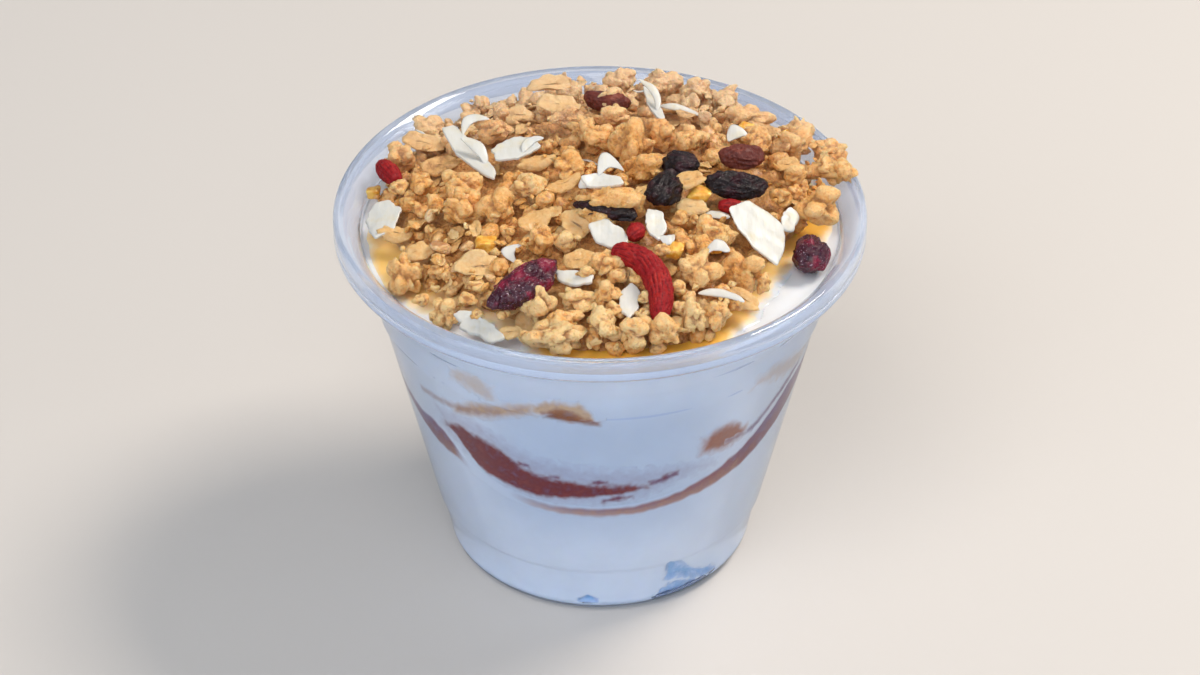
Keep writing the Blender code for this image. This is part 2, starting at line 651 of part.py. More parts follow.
def build_toppings(ground):
    """Make every large topping and return a search tree of each."""
    trees = []
    for name, (path, radius) in GOJI.items():
        bm = goji(ground, path, radius)
        trees.append(BVHTree.FromBMesh(bm))
        publish(bm, name, "goji", 60)
    for index, (name, (start, end, across, upright, kind)) in enumerate(BERRIES.items()):
        bm = berry(ground, start, end, across, upright, 4.0 + index)
        trees.append(BVHTree.FromBMesh(bm))
        publish(bm, name, kind, 60)
    for index, (name, values) in enumerate(CHIPS.items()):
        bm = chip(ground, *values, seed=2.0 * index)
        trees.append(BVHTree.FromBMesh(bm))
        publish(bm, name, "coconut", 50)
    return trees


def main():
    """Build the cup, its filling, the toppings and the heap around them."""
    clear_scene()
    build_cup()
    yogurt = build_filling()
    bpy.context.view_layer.update()
    ground = Ground(heap_core(), evaluated(yogurt))
    build_muesli(ground, build_toppings(ground))


if __name__ == "__main__":
    main()
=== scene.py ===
"""Looks of a clear cup of layered yogurt under muesli, dried fruit and coconut.

Sizes are in millimetres and are scaled to metres when a mesh is published. The
origin is the centre of the foot on the table, +Z is up and -Y is the front.
"""
from __future__ import annotations

import logging
import math
import random
from dataclasses import dataclass, field
from enum import Enum
from typing import Callable, Sequence

import bmesh
import bpy
import numpy as np
from mathutils import Matrix, Vector, noise

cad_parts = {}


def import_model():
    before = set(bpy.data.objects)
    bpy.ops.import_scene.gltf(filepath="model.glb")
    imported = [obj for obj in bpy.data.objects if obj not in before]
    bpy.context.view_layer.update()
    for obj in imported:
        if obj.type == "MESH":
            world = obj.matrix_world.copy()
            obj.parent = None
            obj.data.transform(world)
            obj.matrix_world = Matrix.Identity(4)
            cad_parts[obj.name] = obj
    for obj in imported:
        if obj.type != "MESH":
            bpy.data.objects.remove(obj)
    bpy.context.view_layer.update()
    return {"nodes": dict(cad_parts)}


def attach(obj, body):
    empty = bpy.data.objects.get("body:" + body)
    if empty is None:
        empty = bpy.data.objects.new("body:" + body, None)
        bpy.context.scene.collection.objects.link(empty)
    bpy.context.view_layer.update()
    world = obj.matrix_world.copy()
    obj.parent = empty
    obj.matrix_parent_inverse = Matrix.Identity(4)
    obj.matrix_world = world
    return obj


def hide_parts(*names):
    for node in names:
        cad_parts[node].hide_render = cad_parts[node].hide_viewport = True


MM = 0.001
LOG = logging.getLogger("yogurt_cup")
Colour = tuple[float, float, float]
# Millimetres along the wall for each degree about the axis.
WALL_DEGREE = 0.68
# Faces of a sheet that are covered less than this are cut away.
BARE = 0.004
# Most triangles of a kind of loose piece: the clusters, a common and a rare kind.
CLUSTER_LIMIT, COMMON_LIMIT, RARE_LIMIT = 199000, 195000, 60000


class Slot(Enum):
    """Material slots of the record, one named for each piece."""

    CUP = "cup"
    YOGURT = "yogurt"
    SAUCE = "sauce"
    MUESLI = "muesli"
    GOJI = "goji"
    CRANBERRY = "cranberry"
    RAISIN = "raisin"
    COCONUT = "coconut"


# ------------------------------------------------------------------ small maths
def held(value: float) -> float:
    """Value kept between 0 and 1."""
    return max(0.0, min(1.0, value))


def ease(value: float, low: float, high: float) -> float:
    """Rise smoothly from 0 at low to 1 at high."""
    t = held((value - low) / (high - low))
    return t * t * (3.0 - 2.0 * t)


def along(table: Sequence[Sequence[float]], key: float) -> tuple[float, ...]:
    """Read a table of (key, value, ...) rows between its rows.

    Args:
        table: Rows in rising order of their first number.
        key: Where to read; beyond the ends the end row holds.

    Returns:
        The values of the row, without its key.
    """
    if key <= table[0][0]:
        return tuple(table[0][1:])
    for a, b in zip(table, table[1:]):
        if key <= b[0]:
            t = (key - a[0]) / (b[0] - a[0])
            return tuple(p + (q - p) * t for p, q in zip(a[1:], b[1:]))
    return tuple(table[-1][1:])


def rough(place: Sequence[float], scale: float, seed: float = 0.0) -> float:
    """Smooth noise between about -1 and 1 at one place."""
    return noise.noise(Vector(place) * scale + Vector((seed, 0.37 * seed, -seed)))


def turn_of(x: float, y: float) -> float:
    """Angle of a place about the cup's axis, in degrees."""
    return math.degrees(math.atan2(y, x))


def round_axis(reach: float, angle: float) -> tuple[float, float]:
    """Place at a distance from the cup's axis and at an angle in degrees."""
    turn = math.radians(angle)
    return reach * math.cos(turn), reach * math.sin(turn)


def any_way(rng: random.Random) -> Vector:
    """Unit vector in a direction of chance."""
    return Vector((rng.gauss(0, 1), rng.gauss(0, 1), rng.gauss(0, 1))).normalized()


def rotation(angle: float, axis: str | Vector) -> Matrix:
    """Rotation by an angle in radians about an axis."""
    return Matrix.Rotation(angle, 3, axis)


# ------------------------------------------------------------------ mesh helpers
def finish_mesh(bm: bmesh.types.BMesh, name: str, crease: float = 180.0) -> bpy.types.Mesh:
    """Scale a millimetre mesh to metres and store it.

    Args:
        bm: The mesh in millimetres; it is freed.
        name: Name of the new mesh.
        crease: Edges that turn by more degrees than this stay sharp.

    Returns:
        The stored mesh, shaded smooth.
    """
    bmesh.ops.scale(bm, vec=(MM, MM, MM), verts=bm.verts)
    mesh = bpy.data.meshes.new(name)
    bm.to_mesh(mesh)
    bm.free()
    mesh.shade_smooth()
    if crease < 180.0:
        mesh.set_sharp_from_angle(angle=math.radians(crease))
    return mesh


def linked(name: str, data: bpy.types.ID) -> bpy.types.Object:
    """New object of a mesh, light or camera, linked to the scene.

    Args:
        name: The object's name.
        data: What it shows.

    Returns:
        The object.
    """
    made = bpy.data.objects.new(name, data)
    bpy.context.scene.collection.objects.link(made)
    return made


def publish(mesh: bpy.types.Mesh, finish: bpy.types.Material, slot: Slot,
            nodes: Sequence[str] = ()) -> None:
    """Put a mesh in the scene as one piece of the object, under the mesh's name.

    Args:
        mesh: The piece's mesh in metres, in place.
        finish: Its material.
        slot: The record's material slot; not used.
        nodes: CAD nodes that the piece stands for.
    """
    mesh.materials.append(finish)
    piece = linked(mesh.name, mesh)
    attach(piece, "root")
    if nodes:
        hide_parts(*nodes)
    LOG.info("%s: %d faces", mesh.name, len(mesh.polygons))


def publish_topping(bm: bmesh.types.BMesh, node: str, ending: str,
                    finish: bpy.types.Material, slot: Slot,
                    crease: float = 180.0) -> np.ndarray:
    """Put a topping in the scene in the place of its CAD node.

    Args:
        bm: The topping in millimetres; it is freed.
        node: Name of the CAD node.
        ending: What its name gets behind the node's.
        finish: Its material.
        slot: The record's material slot that it follows.
        crease: Edges that turn by more degrees than this stay sharp.

    Returns:
        Its vertices and face centres as rows, for the height map.
    """
    rows = [tuple(v.co) for v in bm.verts]
    rows += [tuple(f.calc_center_median()) for f in bm.faces]
    publish(finish_mesh(bm, node + ending, crease), finish, slot, [node])
    return np.array(rows)


def spun(profile: Sequence[tuple[float, float]], sides: int,
         weld: float = 1e-5) -> bmesh.types.BMesh:
    """Turn a profile about the cup's axis.

    Args:
        profile: Points as (radius, height), in order.
        sides: Number of sides around.
        weld: Points closer than this are joined.

    Returns:
        The turned mesh.
    """
    bm = bmesh.new()
    verts = [bm.verts.new((r, 0.0, z)) for r, z in profile]
    edges = [bm.edges.new((a, b)) for a, b in zip(verts, verts[1:])]
    bmesh.ops.spin(bm, geom=verts + edges, cent=(0, 0, 0), axis=(0, 0, 1),
                   angle=math.tau, steps=sides, use_merge=True)
    bmesh.ops.remove_doubles(bm, verts=bm.verts, dist=weld)
    return bm


def second_side(bm: bmesh.types.BMesh,
                cover_of: bmesh.types.BMLayerItem) -> list[bmesh.types.BMVert]:
    """Cut the bare faces off a sheet and give what is left a second side.

    Args:
        bm: The open sheet.
        cover_of: Layer that says how much each vertex is covered.

    Returns:
        The vertices of the second side, still in the sheet.
    """
    bare = [f for f in bm.faces if max(v[cover_of] for v in f.verts) < BARE]
    bmesh.ops.delete(bm, geom=bare, context="FACES")
    copied = bmesh.ops.extrude_face_region(bm, geom=bm.faces[:])["geom"]
    return [g for g in copied if isinstance(g, bmesh.types.BMVert)]


def solid_of(node: bpy.types.Object, cuts: int, levels: int,
             voxel: float = 0.0) -> bmesh.types.BMesh:
    """Copy a CAD node's mesh in millimetres, merged, rounded and finer.

    Args:
        node: The CAD node.
        cuts: Cuts of each edge before its faces are rounded.
        levels: Levels of rounding.
        voxel: Width of the even faces that it then gets, or 0 for none.

    Returns:
        The finer mesh, closed and facing outwards.
    """
    bm = bmesh.new()
    bm.from_mesh(node.data)
    bmesh.ops.remove_doubles(bm, verts=bm.verts, dist=1e-6)
    bmesh.ops.scale(bm, vec=(1 / MM,) * 3, verts=bm.verts)
    if cuts:
        bmesh.ops.subdivide_edges(bm, edges=bm.edges, cuts=cuts, use_grid_fill=True)
    draft = bpy.data.meshes.new("draft")
    bm.to_mesh(draft)
    bm.free()
    holder = linked("draft", draft)
    rounder = holder.modifiers.new("rounder", "SUBSURF")
    rounder.levels = rounder.render_levels = levels
    if voxel:
        even = holder.modifiers.new("even", "REMESH")
        even.mode, even.voxel_size = "VOXEL", voxel
    graph = bpy.context.evaluated_depsgraph_get()
    bm = bmesh.new()
    bm.from_mesh(holder.evaluated_get(graph).to_mesh())
    bpy.data.objects.remove(holder, do_unlink=True)
    bpy.data.meshes.remove(draft)
    bmesh.ops.recalc_face_normals(bm, faces=bm.faces)
    bm.normal_update()
    return bm


# --------------------------------------------------------------------- node tree
MILK = (0.90, 0.915, 0.93)
# Whites with painted shade: for the open top, and for the middle of the wall.
MILK_TOP_PAINTED_SHADE = (0.78, 0.80, 0.82)
MILK_PAINTED_SHADE = (0.66, 0.72, 0.79)
# Where painted shade on the wall's white starts and is full: up from the foot, down from
# the top, and the square of the way across at which it starts to clear and is clear.
PAINTED_SHADE_LOW, PAINTED_SHADE_HIGH, PAINTED_SHADE_WIDE = (14.0, 34.0), (66.0, 50.0), (60.0, 700.0)
# Heights where the wall's white ends and where the open top's painted-shade white begins.
TOP_EDGE = (66.0, 68.0)
# Places in depth where painted light starts to pale baked grain and where it pales it most.
BACK_LIGHT_WASH_DEPTHS = (2.0, 34.0)


def soft(weight: float, spread: Colour, depth: float) -> dict[str, object]:
    """Sockets of light that sinks in, with its depth in millimetres."""
    return {"Subsurface_Weight": weight, "Subsurface_Radius": spread,
            "Subsurface_Scale": depth * MM}


class Graph:
    """Short calls that build the node tree of one material."""

    def __init__(self, name: str) -> None:
        """Start a material with its Principled shader and object coordinates."""
        self.material = bpy.data.materials.new(name)
        self.material.use_nodes = True
        self.nodes = self.material.node_tree.nodes
        self.links = self.material.node_tree.links
        self.shader = self.nodes["Principled BSDF"]
        self.place = self.nodes.new("ShaderNodeTexCoord").outputs["Object"]

    def put(self, socket: bpy.types.NodeSocket, value: object) -> None:
        """Link another socket to this one, or set its value.

        Args:
            socket: The input to fill.
            value: A socket, a number or a colour.
        """
        if isinstance(value, bpy.types.NodeSocket):
            self.links.new(value, socket)
        elif isinstance(value, tuple) and socket.type == "RGBA":
            socket.default_value = (*value, 1.0)
        else:
            socket.default_value = value

    def dress(self, **sockets: object) -> bpy.types.Material:
        """Set the shader's sockets, named with underscores for spaces.

        Args:
            **sockets: A value or a socket for each of the shader's inputs.

        Returns:
            The finished material.
        """
        for name, value in sockets.items():
            self.put(self.shader.inputs[name.replace("_", " ")], value)
        return self.material

    def stretched(self, scale: tuple[float, float, float]) -> bpy.types.NodeSocket:
        """Object coordinates multiplied by a scale for each axis."""
        node = self.nodes.new("ShaderNodeMapping")
        node.inputs["Scale"].default_value = scale
        self.links.new(self.place, node.inputs["Vector"])
        return node.outputs[0]

    def grain(self, size: float, detail: float = 3.0, roughness: float = 0.55,
              at: bpy.types.NodeSocket | None = None) -> bpy.types.NodeSocket:
        """Noise whose blotches are about `size` millimetres wide.

        Args:
            size: Width of a blotch in millimetres.
            detail: Octaves of finer noise.
            roughness: Strength of the finer octaves.
            at: Coordinates, or the object's own.

        Returns:
            The noise's value socket.
        """
        node = self.nodes.new("ShaderNodeTexNoise")
        node.inputs["Scale"].default_value = 1.0 / (size * MM)
        node.inputs["Detail"].default_value = detail
        node.inputs["Roughness"].default_value = roughness
        self.links.new(at or self.place, node.inputs["Vector"])
        return node.outputs[0]

    def cells(self, size: float) -> bpy.types.NodeSocket:
        """Cell distance for cells about `size` millimetres wide."""
        node = self.nodes.new("ShaderNodeTexVoronoi")
        node.inputs["Scale"].default_value = 1.0 / (size * MM)
        self.links.new(self.place, node.inputs["Vector"])
        return node.outputs["Distance"]

    def painted(self, name: str) -> bpy.types.NodeSocket:
        """Value of a float attribute of the piece's mesh."""
        node = self.nodes.new("ShaderNodeAttribute")
        node.attribute_name = name
        return node.outputs["Fac"]

    def way(self, axis: str) -> bpy.types.NodeSocket:
        """Place along one axis in millimetres."""
        split = self.nodes.new("ShaderNodeSeparateXYZ")
        self.links.new(self.place, split.inputs[0])
        return self.times(split.outputs[axis], 1.0 / MM)

    def plus(self, a: object, b: object, how: str = "ADD") -> bpy.types.NodeSocket:
        """Add two values, or combine them another way.

        Args:
            a: First value or socket.
            b: Second value or socket.
            how: The Math node's operation.

        Returns:
            The result's socket.
        """
        node = self.nodes.new("ShaderNodeMath")
        node.operation = how
        self.put(node.inputs[0], a)
        self.put(node.inputs[1], b)
        return node.outputs[0]

    def times(self, a: object, b: object) -> bpy.types.NodeSocket:
        """Multiply two values."""
        return self.plus(a, b, "MULTIPLY")

    def swing(self, value: bpy.types.NodeSocket, amount: float) -> bpy.types.NodeSocket:
        """Centre a noise on nought and scale it."""
        return self.times(self.plus(value, -0.5), amount)

    def span(self, value: bpy.types.NodeSocket, low: float, high: float,
             start: float = 0.0, stop: float = 1.0) -> bpy.types.NodeSocket:
        """Map a value from low..high smoothly to start..stop.

        Args:
            value: The socket to map.
            low: Value that gives the start.
            high: Value that gives the stop.
            start: Result at low and below.
            stop: Result at high and above.

        Returns:
            The result's socket.
        """
        node = self.nodes.new("ShaderNodeMapRange")
        node.interpolation_type = "SMOOTHSTEP"
        for socket, number in zip(("From Min", "From Max", "To Min", "To Max"),
                                  (low, high, start, stop)):
            node.inputs[socket].default_value = number
        self.links.new(value, node.inputs["Value"])
        return node.outputs[0]

    def ramp(self, value: bpy.types.NodeSocket,
             stops: Sequence[tuple[float, Colour]]) -> bpy.types.NodeSocket:
        """Colour ramp over a value, from (position, colour) stops.

        Args:
            value: The socket to read.
            stops: Positions in rising order, with colours.

        Returns:
            The colour's socket.
        """
        node = self.nodes.new("ShaderNodeValToRGB")
        band = node.color_ramp
        while len(band.elements) < len(stops):
            band.elements.new(0.5)
        for element, (position, colour) in zip(band.elements, stops):
            element.position = position
            element.color = (*colour, 1.0)
        self.links.new(value, node.inputs[0])
        return node.outputs[0]

    def blend(self, share: object, a: object, b: object) -> bpy.types.NodeSocket:
        """Mix two colours by a share.

        Args:
            share: How much of the second shows.
            a: First colour or socket.
            b: Second colour or socket.

        Returns:
            The colour's socket.
        """
        node = self.nodes.new("ShaderNodeMix")
        node.data_type = "RGBA"
        self.put(node.inputs[0], share)
        self.put(node.inputs[6], a)
        self.put(node.inputs[7], b)
        return node.outputs[2]

    def relief(self, height: bpy.types.NodeSocket, depth: float,
               strength: float = 1.0) -> bpy.types.NodeSocket:
        """Bump whose full height is `depth` millimetres.

        Args:
            height: The socket of heights.
            depth: Full height in millimetres.
            strength: Share of it that shows.

        Returns:
            The normal's socket.
        """
        node = self.nodes.new("ShaderNodeBump")
        node.inputs["Strength"].default_value = strength
        node.inputs["Distance"].default_value = depth * MM
        self.links.new(height, node.inputs["Height"])
        return node.outputs[0]

    def milk(self) -> bpy.types.NodeSocket:
        """Yogurt white, with painted shade in the middle of the wall and on the open top."""
        height, across = self.way("Z"), self.way("X")
        # Painted shade: a darker white in the middle of the wall, clearing towards the sides.
        painted_shade = self.times(self.span(height, *PAINTED_SHADE_LOW), self.span(height, *PAINTED_SHADE_HIGH))
        painted_shade = self.times(painted_shade, self.span(self.times(across, across), *PAINTED_SHADE_WIDE, 1.0, 0.0))
        white = self.blend(self.span(height, *TOP_EDGE), MILK, MILK_TOP_PAINTED_SHADE)
        return self.blend(painted_shade, white, MILK_PAINTED_SHADE)

    def back_light_wash(self, body: bpy.types.NodeSocket, most: float,
              lit_straw: Colour) -> bpy.types.NodeSocket:
        """Pale a baked colour to straw towards the back with painted light, by a share at
        most.
        """
        return self.blend(self.span(self.way("Y"), *BACK_LIGHT_WASH_DEPTHS, 0.0, most), body, lit_straw)


# ---------------------------------------------------------------------- finishes
@dataclass(frozen=True)
class CupPlastic:
    """Clear plastic with a cool tint; its rolled rim is paler and shinier, and its foot is
    cloudier so that its pale tint, a painted light, covers the dark shade under the cup.
    """

    tint: Colour = (0.76, 0.84, 1.0)
    rim_tint: Colour = (0.80, 0.87, 1.0)
    haze: tuple[float, float] = (0.0, 0.24)
    # Cloudiness of the foot: its pale tint is painted light over the dark shade under the
    # cup.
    foot_haze_painted_light: float = 0.5
    gloss: tuple[float, float] = (0.12, 0.06)
    bend: tuple[float, float] = (1.16, 1.46)

    def make(self) -> bpy.types.Material:
        """Build the material.

        Returns:
            The finish.
        """
        g = Graph("cup_plastic")
        in_rim = g.span(g.way("Z"), 67.5, 69.5)
        clear = g.span(in_rim, 0.0, 1.0, 1.0 - self.haze[0], 1.0 - self.haze[1])
        # Painted light: a cloudier foot whose pale tint covers the dark shade under the cup.
        foot_painted_light = g.span(g.way("Z"), 0.6, 2.6, self.foot_haze_painted_light, 0.0)
        return g.dress(Base_Color=g.blend(in_rim, self.tint, self.rim_tint),
                       Roughness=g.span(in_rim, 0.0, 1.0, *self.gloss),
                       IOR=g.span(in_rim, 0.0, 1.0, *self.bend),
                       Transmission_Weight=g.plus(clear, foot_painted_light, "SUBTRACT"),
                       Normal=g.relief(g.grain(9.0, 2.0, 0.4), 0.06, 0.3))


@dataclass(frozen=True)
class Yogurt:
    """Smooth white yogurt, with blue-grey painted shade where air lies against the wall."""

    # Painted shade of the yogurt behind an air pocket.
    air_and_shade: Colour = (0.37, 0.60, 0.74)

    def make(self) -> bpy.types.Material:
        """Build the material.

        Returns:
            The finish.
        """
        g = Graph("yogurt")
        # The milk white carries the painted shade of the wall's middle and of the open top.
        clouds = g.blend(g.span(g.grain(7.0, 3.0), 0.3, 0.7, 0.0, 0.04), g.milk(),
                         (0.0, 0.0, 0.0))
        # Streaks in the painted shade where air lies against the wall.
        veins = g.span(g.grain(1.6, 4.0, 0.6), 0.36, 0.58, 0.3, 1.0)
        colour = g.blend(g.times(g.painted("air_and_shade"), veins), clouds, self.air_and_shade)
        bump = g.relief(g.grain(2.2, 4.0, 0.5), 0.10, 0.35)
        return g.dress(Base_Color=colour, Roughness=0.34,
                       Specular_IOR_Level=g.span(g.way("Z"), 66.5, 67.5, 0.0, 0.5),
                       **soft(0.25, (1.0, 0.8, 0.6), 1.5), Normal=bump)


@dataclass(frozen=True)
class WallStainFinish:
    """Sauce or wet grain behind the wall, melting into yogurt at its edges."""

    name: str
    dark: Colour
    middle: Colour
    light: Colour
    ragged: float = 0.4

    def make(self) -> bpy.types.Material:
        """Build the material.

        Returns:
            The finish.
        """
        g = Graph(self.name)
        laid = g.painted("cover")
        fray = g.times(g.swing(g.grain(1.5, 3.0, 0.6), self.ragged), g.span(laid, 0.0, 0.35))
        cover = g.plus(laid, fray)
        tone = g.plus(g.painted("tone"), g.swing(g.grain(1.5, 5.0, 0.65), 1.1))
        body = g.ramp(tone, ((0.0, self.dark), (0.5, self.middle), (1.0, self.light)))
        # Round the stain the yogurt white carries its painted shade.
        return g.dress(Base_Color=g.blend(cover, g.milk(), body), Specular_IOR_Level=0.0,
                       **soft(0.12, (1.0, 0.6, 0.5), 1.2))


@dataclass(frozen=True)
class Granola:
    """Baked grain, glazed: painted shade darkens creases and pits, painted highlight pales
    ridges.
    """

    name: str
    brown: Colour = (0.46, 0.17, 0.04)
    gold: Colour = (0.84, 0.36, 0.07)
    tan: Colour = (0.92, 0.47, 0.145)
    pale: Colour = (0.95, 0.63, 0.28)
    # Crease colour: painted shade in creases and pits, and a chopped nut's brown skin side.
    crease: Colour = (0.40, 0.13, 0.025)
    # Straw colour and share of the painted light that pales the grain towards the back.
    lit_straw: Colour = (0.90, 0.66, 0.42)
    glaze: float = 0.2
    back_light_wash: float = 0.58

    def make(self) -> bpy.types.Material:
        """Build the material.

        Returns:
            The finish.
        """
        g = Graph(self.name)
        tone = g.plus(g.painted("tone"), g.swing(g.grain(1.3, 6.0, 0.75), 2.4))
        body = g.ramp(tone, ((0.0, self.brown), (0.28, self.gold),
                             (0.62, self.tan), (1.0, self.pale)))
        flour = g.span(g.grain(0.45, 5.0, 0.75), 0.50, 0.72)
        body = g.blend(g.times(flour, 0.5), body, self.pale)
        # Painted shade: dark specks in the grain's small pits.
        pit_shade = g.span(g.grain(0.7, 3.0, 0.6), 0.42, 0.30)
        body = g.blend(g.times(pit_shade, 0.6), body, self.crease)
        # Painted shade in the hollows of the lumps; on chopped nuts the same colour is the
        # brown skin side.
        crease_shade_and_nut_skin = g.span(g.painted("deep"), 0.55, 1.0)
        body = g.blend(g.times(crease_shade_and_nut_skin, 0.75), body, self.crease)
        # Painted highlight: paler grain on the ridges of the lumps.
        ridge_highlight = g.span(g.painted("deep"), 0.45, 0.1)
        body = g.blend(g.times(ridge_highlight, 0.4), body, self.pale)
        # Painted light: the grain turns paler towards the back.
        body = g.back_light_wash(body, self.back_light_wash, self.lit_straw)
        bump = g.plus(g.grain(0.5, 6.0, 0.7), g.times(g.cells(0.6), 0.6))
        return g.dress(Base_Color=body, Roughness=g.span(g.grain(2.0), 0.3, 0.7, 0.42, 0.7),
                       **soft(0.25, (1.0, 0.5, 0.2), 1.6), Coat_Weight=self.glaze,
                       Coat_Roughness=0.28, Normal=g.relief(bump, 0.5))


@dataclass(frozen=True)
class OatFlake:
    """Rolled oat: pale rim, tan face and a brown crease along its middle."""

    face: Colour = (0.80, 0.43, 0.135)
    rim: Colour = (0.88, 0.58, 0.26)
    brown: Colour = (0.48, 0.20, 0.05)
    crease: Colour = (0.30, 0.12, 0.04)
    # Straw colour and share of the painted light that pales the oats towards the back.
    lit_straw: Colour = (0.90, 0.68, 0.44)
    back_light_wash: float = 0.4

    def make(self) -> bpy.types.Material:
        """Build the material.

        Returns:
            The finish.
        """
        g = Graph("oat_flake")
        tone = g.plus(g.painted("tone"), g.swing(g.grain(1.2, 6.0, 0.7), 1.9))
        body = g.ramp(tone, ((0.0, self.brown), (0.35, self.face), (0.9, self.rim)))
        fleck = g.span(g.grain(0.4, 4.0, 0.7), 0.55, 0.8)
        body = g.blend(g.times(fleck, 0.4), body, self.rim)
        line = g.plus(g.painted("deep"), g.times(g.grain(0.9, 3.0), 0.10))
        # Painted light: the oats turn paler towards the back.
        body = g.back_light_wash(body, self.back_light_wash, self.lit_straw)
        line = g.times(g.span(line, 0.13, 0.06), g.span(g.grain(3.0), 0.46, 0.6))
        body = g.blend(g.times(line, 0.75), body, self.crease)
        bump = g.plus(g.grain(0.9, 6.0, 0.75), g.times(line, -0.8))
        return g.dress(Base_Color=body, Roughness=0.55, **soft(0.18, (1.0, 0.6, 0.3), 1.0),
                       Coat_Weight=0.32, Coat_Roughness=0.26, Normal=g.relief(bump, 0.6))


@dataclass(frozen=True)
class DriedFruit:
    """Wrinkled skin with painted shade in its folds, pale specks of dust and painted glints,
    and patchy gloss.
    """

    name: str
    fold: Colour
    skin: Colour
    blush: Colour
    # Colour and share of the pale specks: partly sugar dust, partly painted glints.
    dust_and_glint: Colour
    gloss: float = 0.3
    dust_and_glint_share: float = 0.3
    wrinkle: float = 0.8
    coat: float = 0.2

    def make(self) -> bpy.types.Material:
        """Build the material.

        Returns:
            The finish.
        """
        g = Graph(self.name)
        body = g.blend(g.span(g.grain(2.6, 3.0), 0.46, 0.66), self.skin, self.blush)
        # Painted shade in the folds, where deep is high.
        body = g.blend(g.span(g.painted("deep"), 0.45, 0.9), body, self.fold)
        # Pale specks: partly sugar dust, partly painted glints.
        dust_and_glint_specks = g.span(g.grain(0.36, 3.0, 0.6), 0.62, 0.70)
        body = g.blend(g.times(dust_and_glint_specks, self.dust_and_glint_share), body, self.dust_and_glint)
        bump = g.plus(g.grain(self.wrinkle, 5.0, 0.6), g.times(g.cells(self.wrinkle), 0.5))
        return g.dress(Base_Color=body,
                       Roughness=g.span(g.grain(0.9, 4.0), 0.35, 0.65, self.gloss,
                                        self.gloss + 0.3),
                       Specular_IOR_Level=0.26, **soft(0.08, (1.0, 0.2, 0.15), 0.8),
                       Coat_Weight=self.coat, Coat_Roughness=0.12,
                       Normal=g.relief(bump, 0.35))


GOJI_SKIN = DriedFruit("goji_skin", (0.17, 0.002, 0.004), (0.29, 0.005, 0.007),
                       (0.38, 0.014, 0.010), (0.70, 0.20, 0.17), 0.46, 0.16, 0.8, 0.0)
# The cranberry's many pale specks are mostly painted glints.
PLUM_SKIN = DriedFruit("cranberry_skin", (0.012, 0.001, 0.004), (0.050, 0.003, 0.012),
                       (0.21, 0.006, 0.028), (0.74, 0.52, 0.60), 0.12, 0.60, 0.9, 0.30)
BROWN_SKIN = DriedFruit("brown_raisin_skin", (0.025, 0.005, 0.004), (0.12, 0.022, 0.014),
                        (0.21, 0.048, 0.028), (0.45, 0.28, 0.24), 0.38, 0.18, 0.8, 0.05)
BLACK_SKIN = DriedFruit("black_raisin_skin", (0.003, 0.001, 0.001), (0.010, 0.004, 0.004),
                        (0.030, 0.005, 0.008), (0.42, 0.34, 0.36), 0.26, 0.22, 0.8, 0.05)


@dataclass(frozen=True)
class Coconut:
    """Creamy white flesh with a faint fibre and warmer blotches."""

    flesh: Colour = (0.62, 0.595, 0.53)
    warm: Colour = (0.63, 0.55, 0.38)
    bright: Colour = (0.69, 0.67, 0.62)

    def make(self) -> bpy.types.Material:
        """Build the material.

        Returns:
            The finish.
        """
        g = Graph("coconut_flesh")
        body = g.blend(g.span(g.grain(3.5, 3.0), 0.50, 0.78), self.flesh, self.warm)
        fibre = g.grain(1.0, 4.0, 0.6, g.stretched((1.0, 0.22, 0.22)))
        body = g.blend(g.times(g.span(fibre, 0.35, 0.7), 0.4), body, self.bright)
        return g.dress(Base_Color=body, Roughness=0.42, **soft(0.3, (1.0, 0.85, 0.6), 1.2),
                       Coat_Weight=0.12, Coat_Roughness=0.25, Normal=g.relief(fibre, 0.12))


@dataclass(frozen=True)
class Honey:
    """Glossy syrup, pale where it thins out over the yogurt."""

    thick: Colour = (0.92, 0.50, 0.075)
    middle: Colour = (0.95, 0.59, 0.21)
    thin: Colour = (0.95, 0.78, 0.55)

    def make(self) -> bpy.types.Material:
        """Build the material.

        Returns:
            The finish.
        """
        g = Graph("honey")
        depth = g.plus(g.painted("cover"), g.swing(g.grain(3.0, 3.0), 0.45))
        body = g.ramp(depth, ((0.22, self.thin), (0.60, self.middle), (1.0, self.thick)))
        # Where the honey thins out it shows the yogurt white with its painted shade.
        body = g.blend(g.span(depth, 0.0, 0.22), g.milk(), body)
        return g.dress(Base_Color=body, Roughness=0.10, **soft(0.3, (1.0, 0.5, 0.1), 1.5),
                       Coat_Weight=0.5, Coat_Roughness=0.04,
                       Normal=g.relief(g.grain(2.4, 2.0, 0.4), 0.08, 0.6))


@dataclass(frozen=True)
class CandiedBit:
    """Small cube of yellow candied fruit."""

    rind: Colour = (0.70, 0.29, 0.02)
    flesh: Colour = (0.86, 0.53, 0.11)

    def make(self) -> bpy.types.Material:
        """Build the material.

        Returns:
            The finish.
        """
        g = Graph("candied_fruit")
        body = g.blend(g.span(g.grain(1.2, 3.0), 0.35, 0.65), self.rind, self.flesh)
        return g.dress(Base_Color=body, Roughness=0.3, **soft(0.3, (1.0, 0.6, 0.1), 1.0),
                       Coat_Weight=0.3, Coat_Roughness=0.15,
                       Normal=g.relief(g.grain(0.6, 4.0), 0.14, 0.7))


@dataclass(frozen=True)
class FloorPaint:
    """Plain pale studio floor."""

    colour: Colour = (0.61, 0.56, 0.51)
    shade: float = 0.99

    def make(self) -> bpy.types.Material:
        """Build the material.

        Returns:
            The finish.
        """
        g = Graph("floor")
        body = g.blend(g.span(g.grain(400.0, 2.0), 0.3, 0.7), self.colour,
                       tuple(c * self.shade for c in self.colour))
        return g.dress(Base_Color=body, Roughness=0.8)


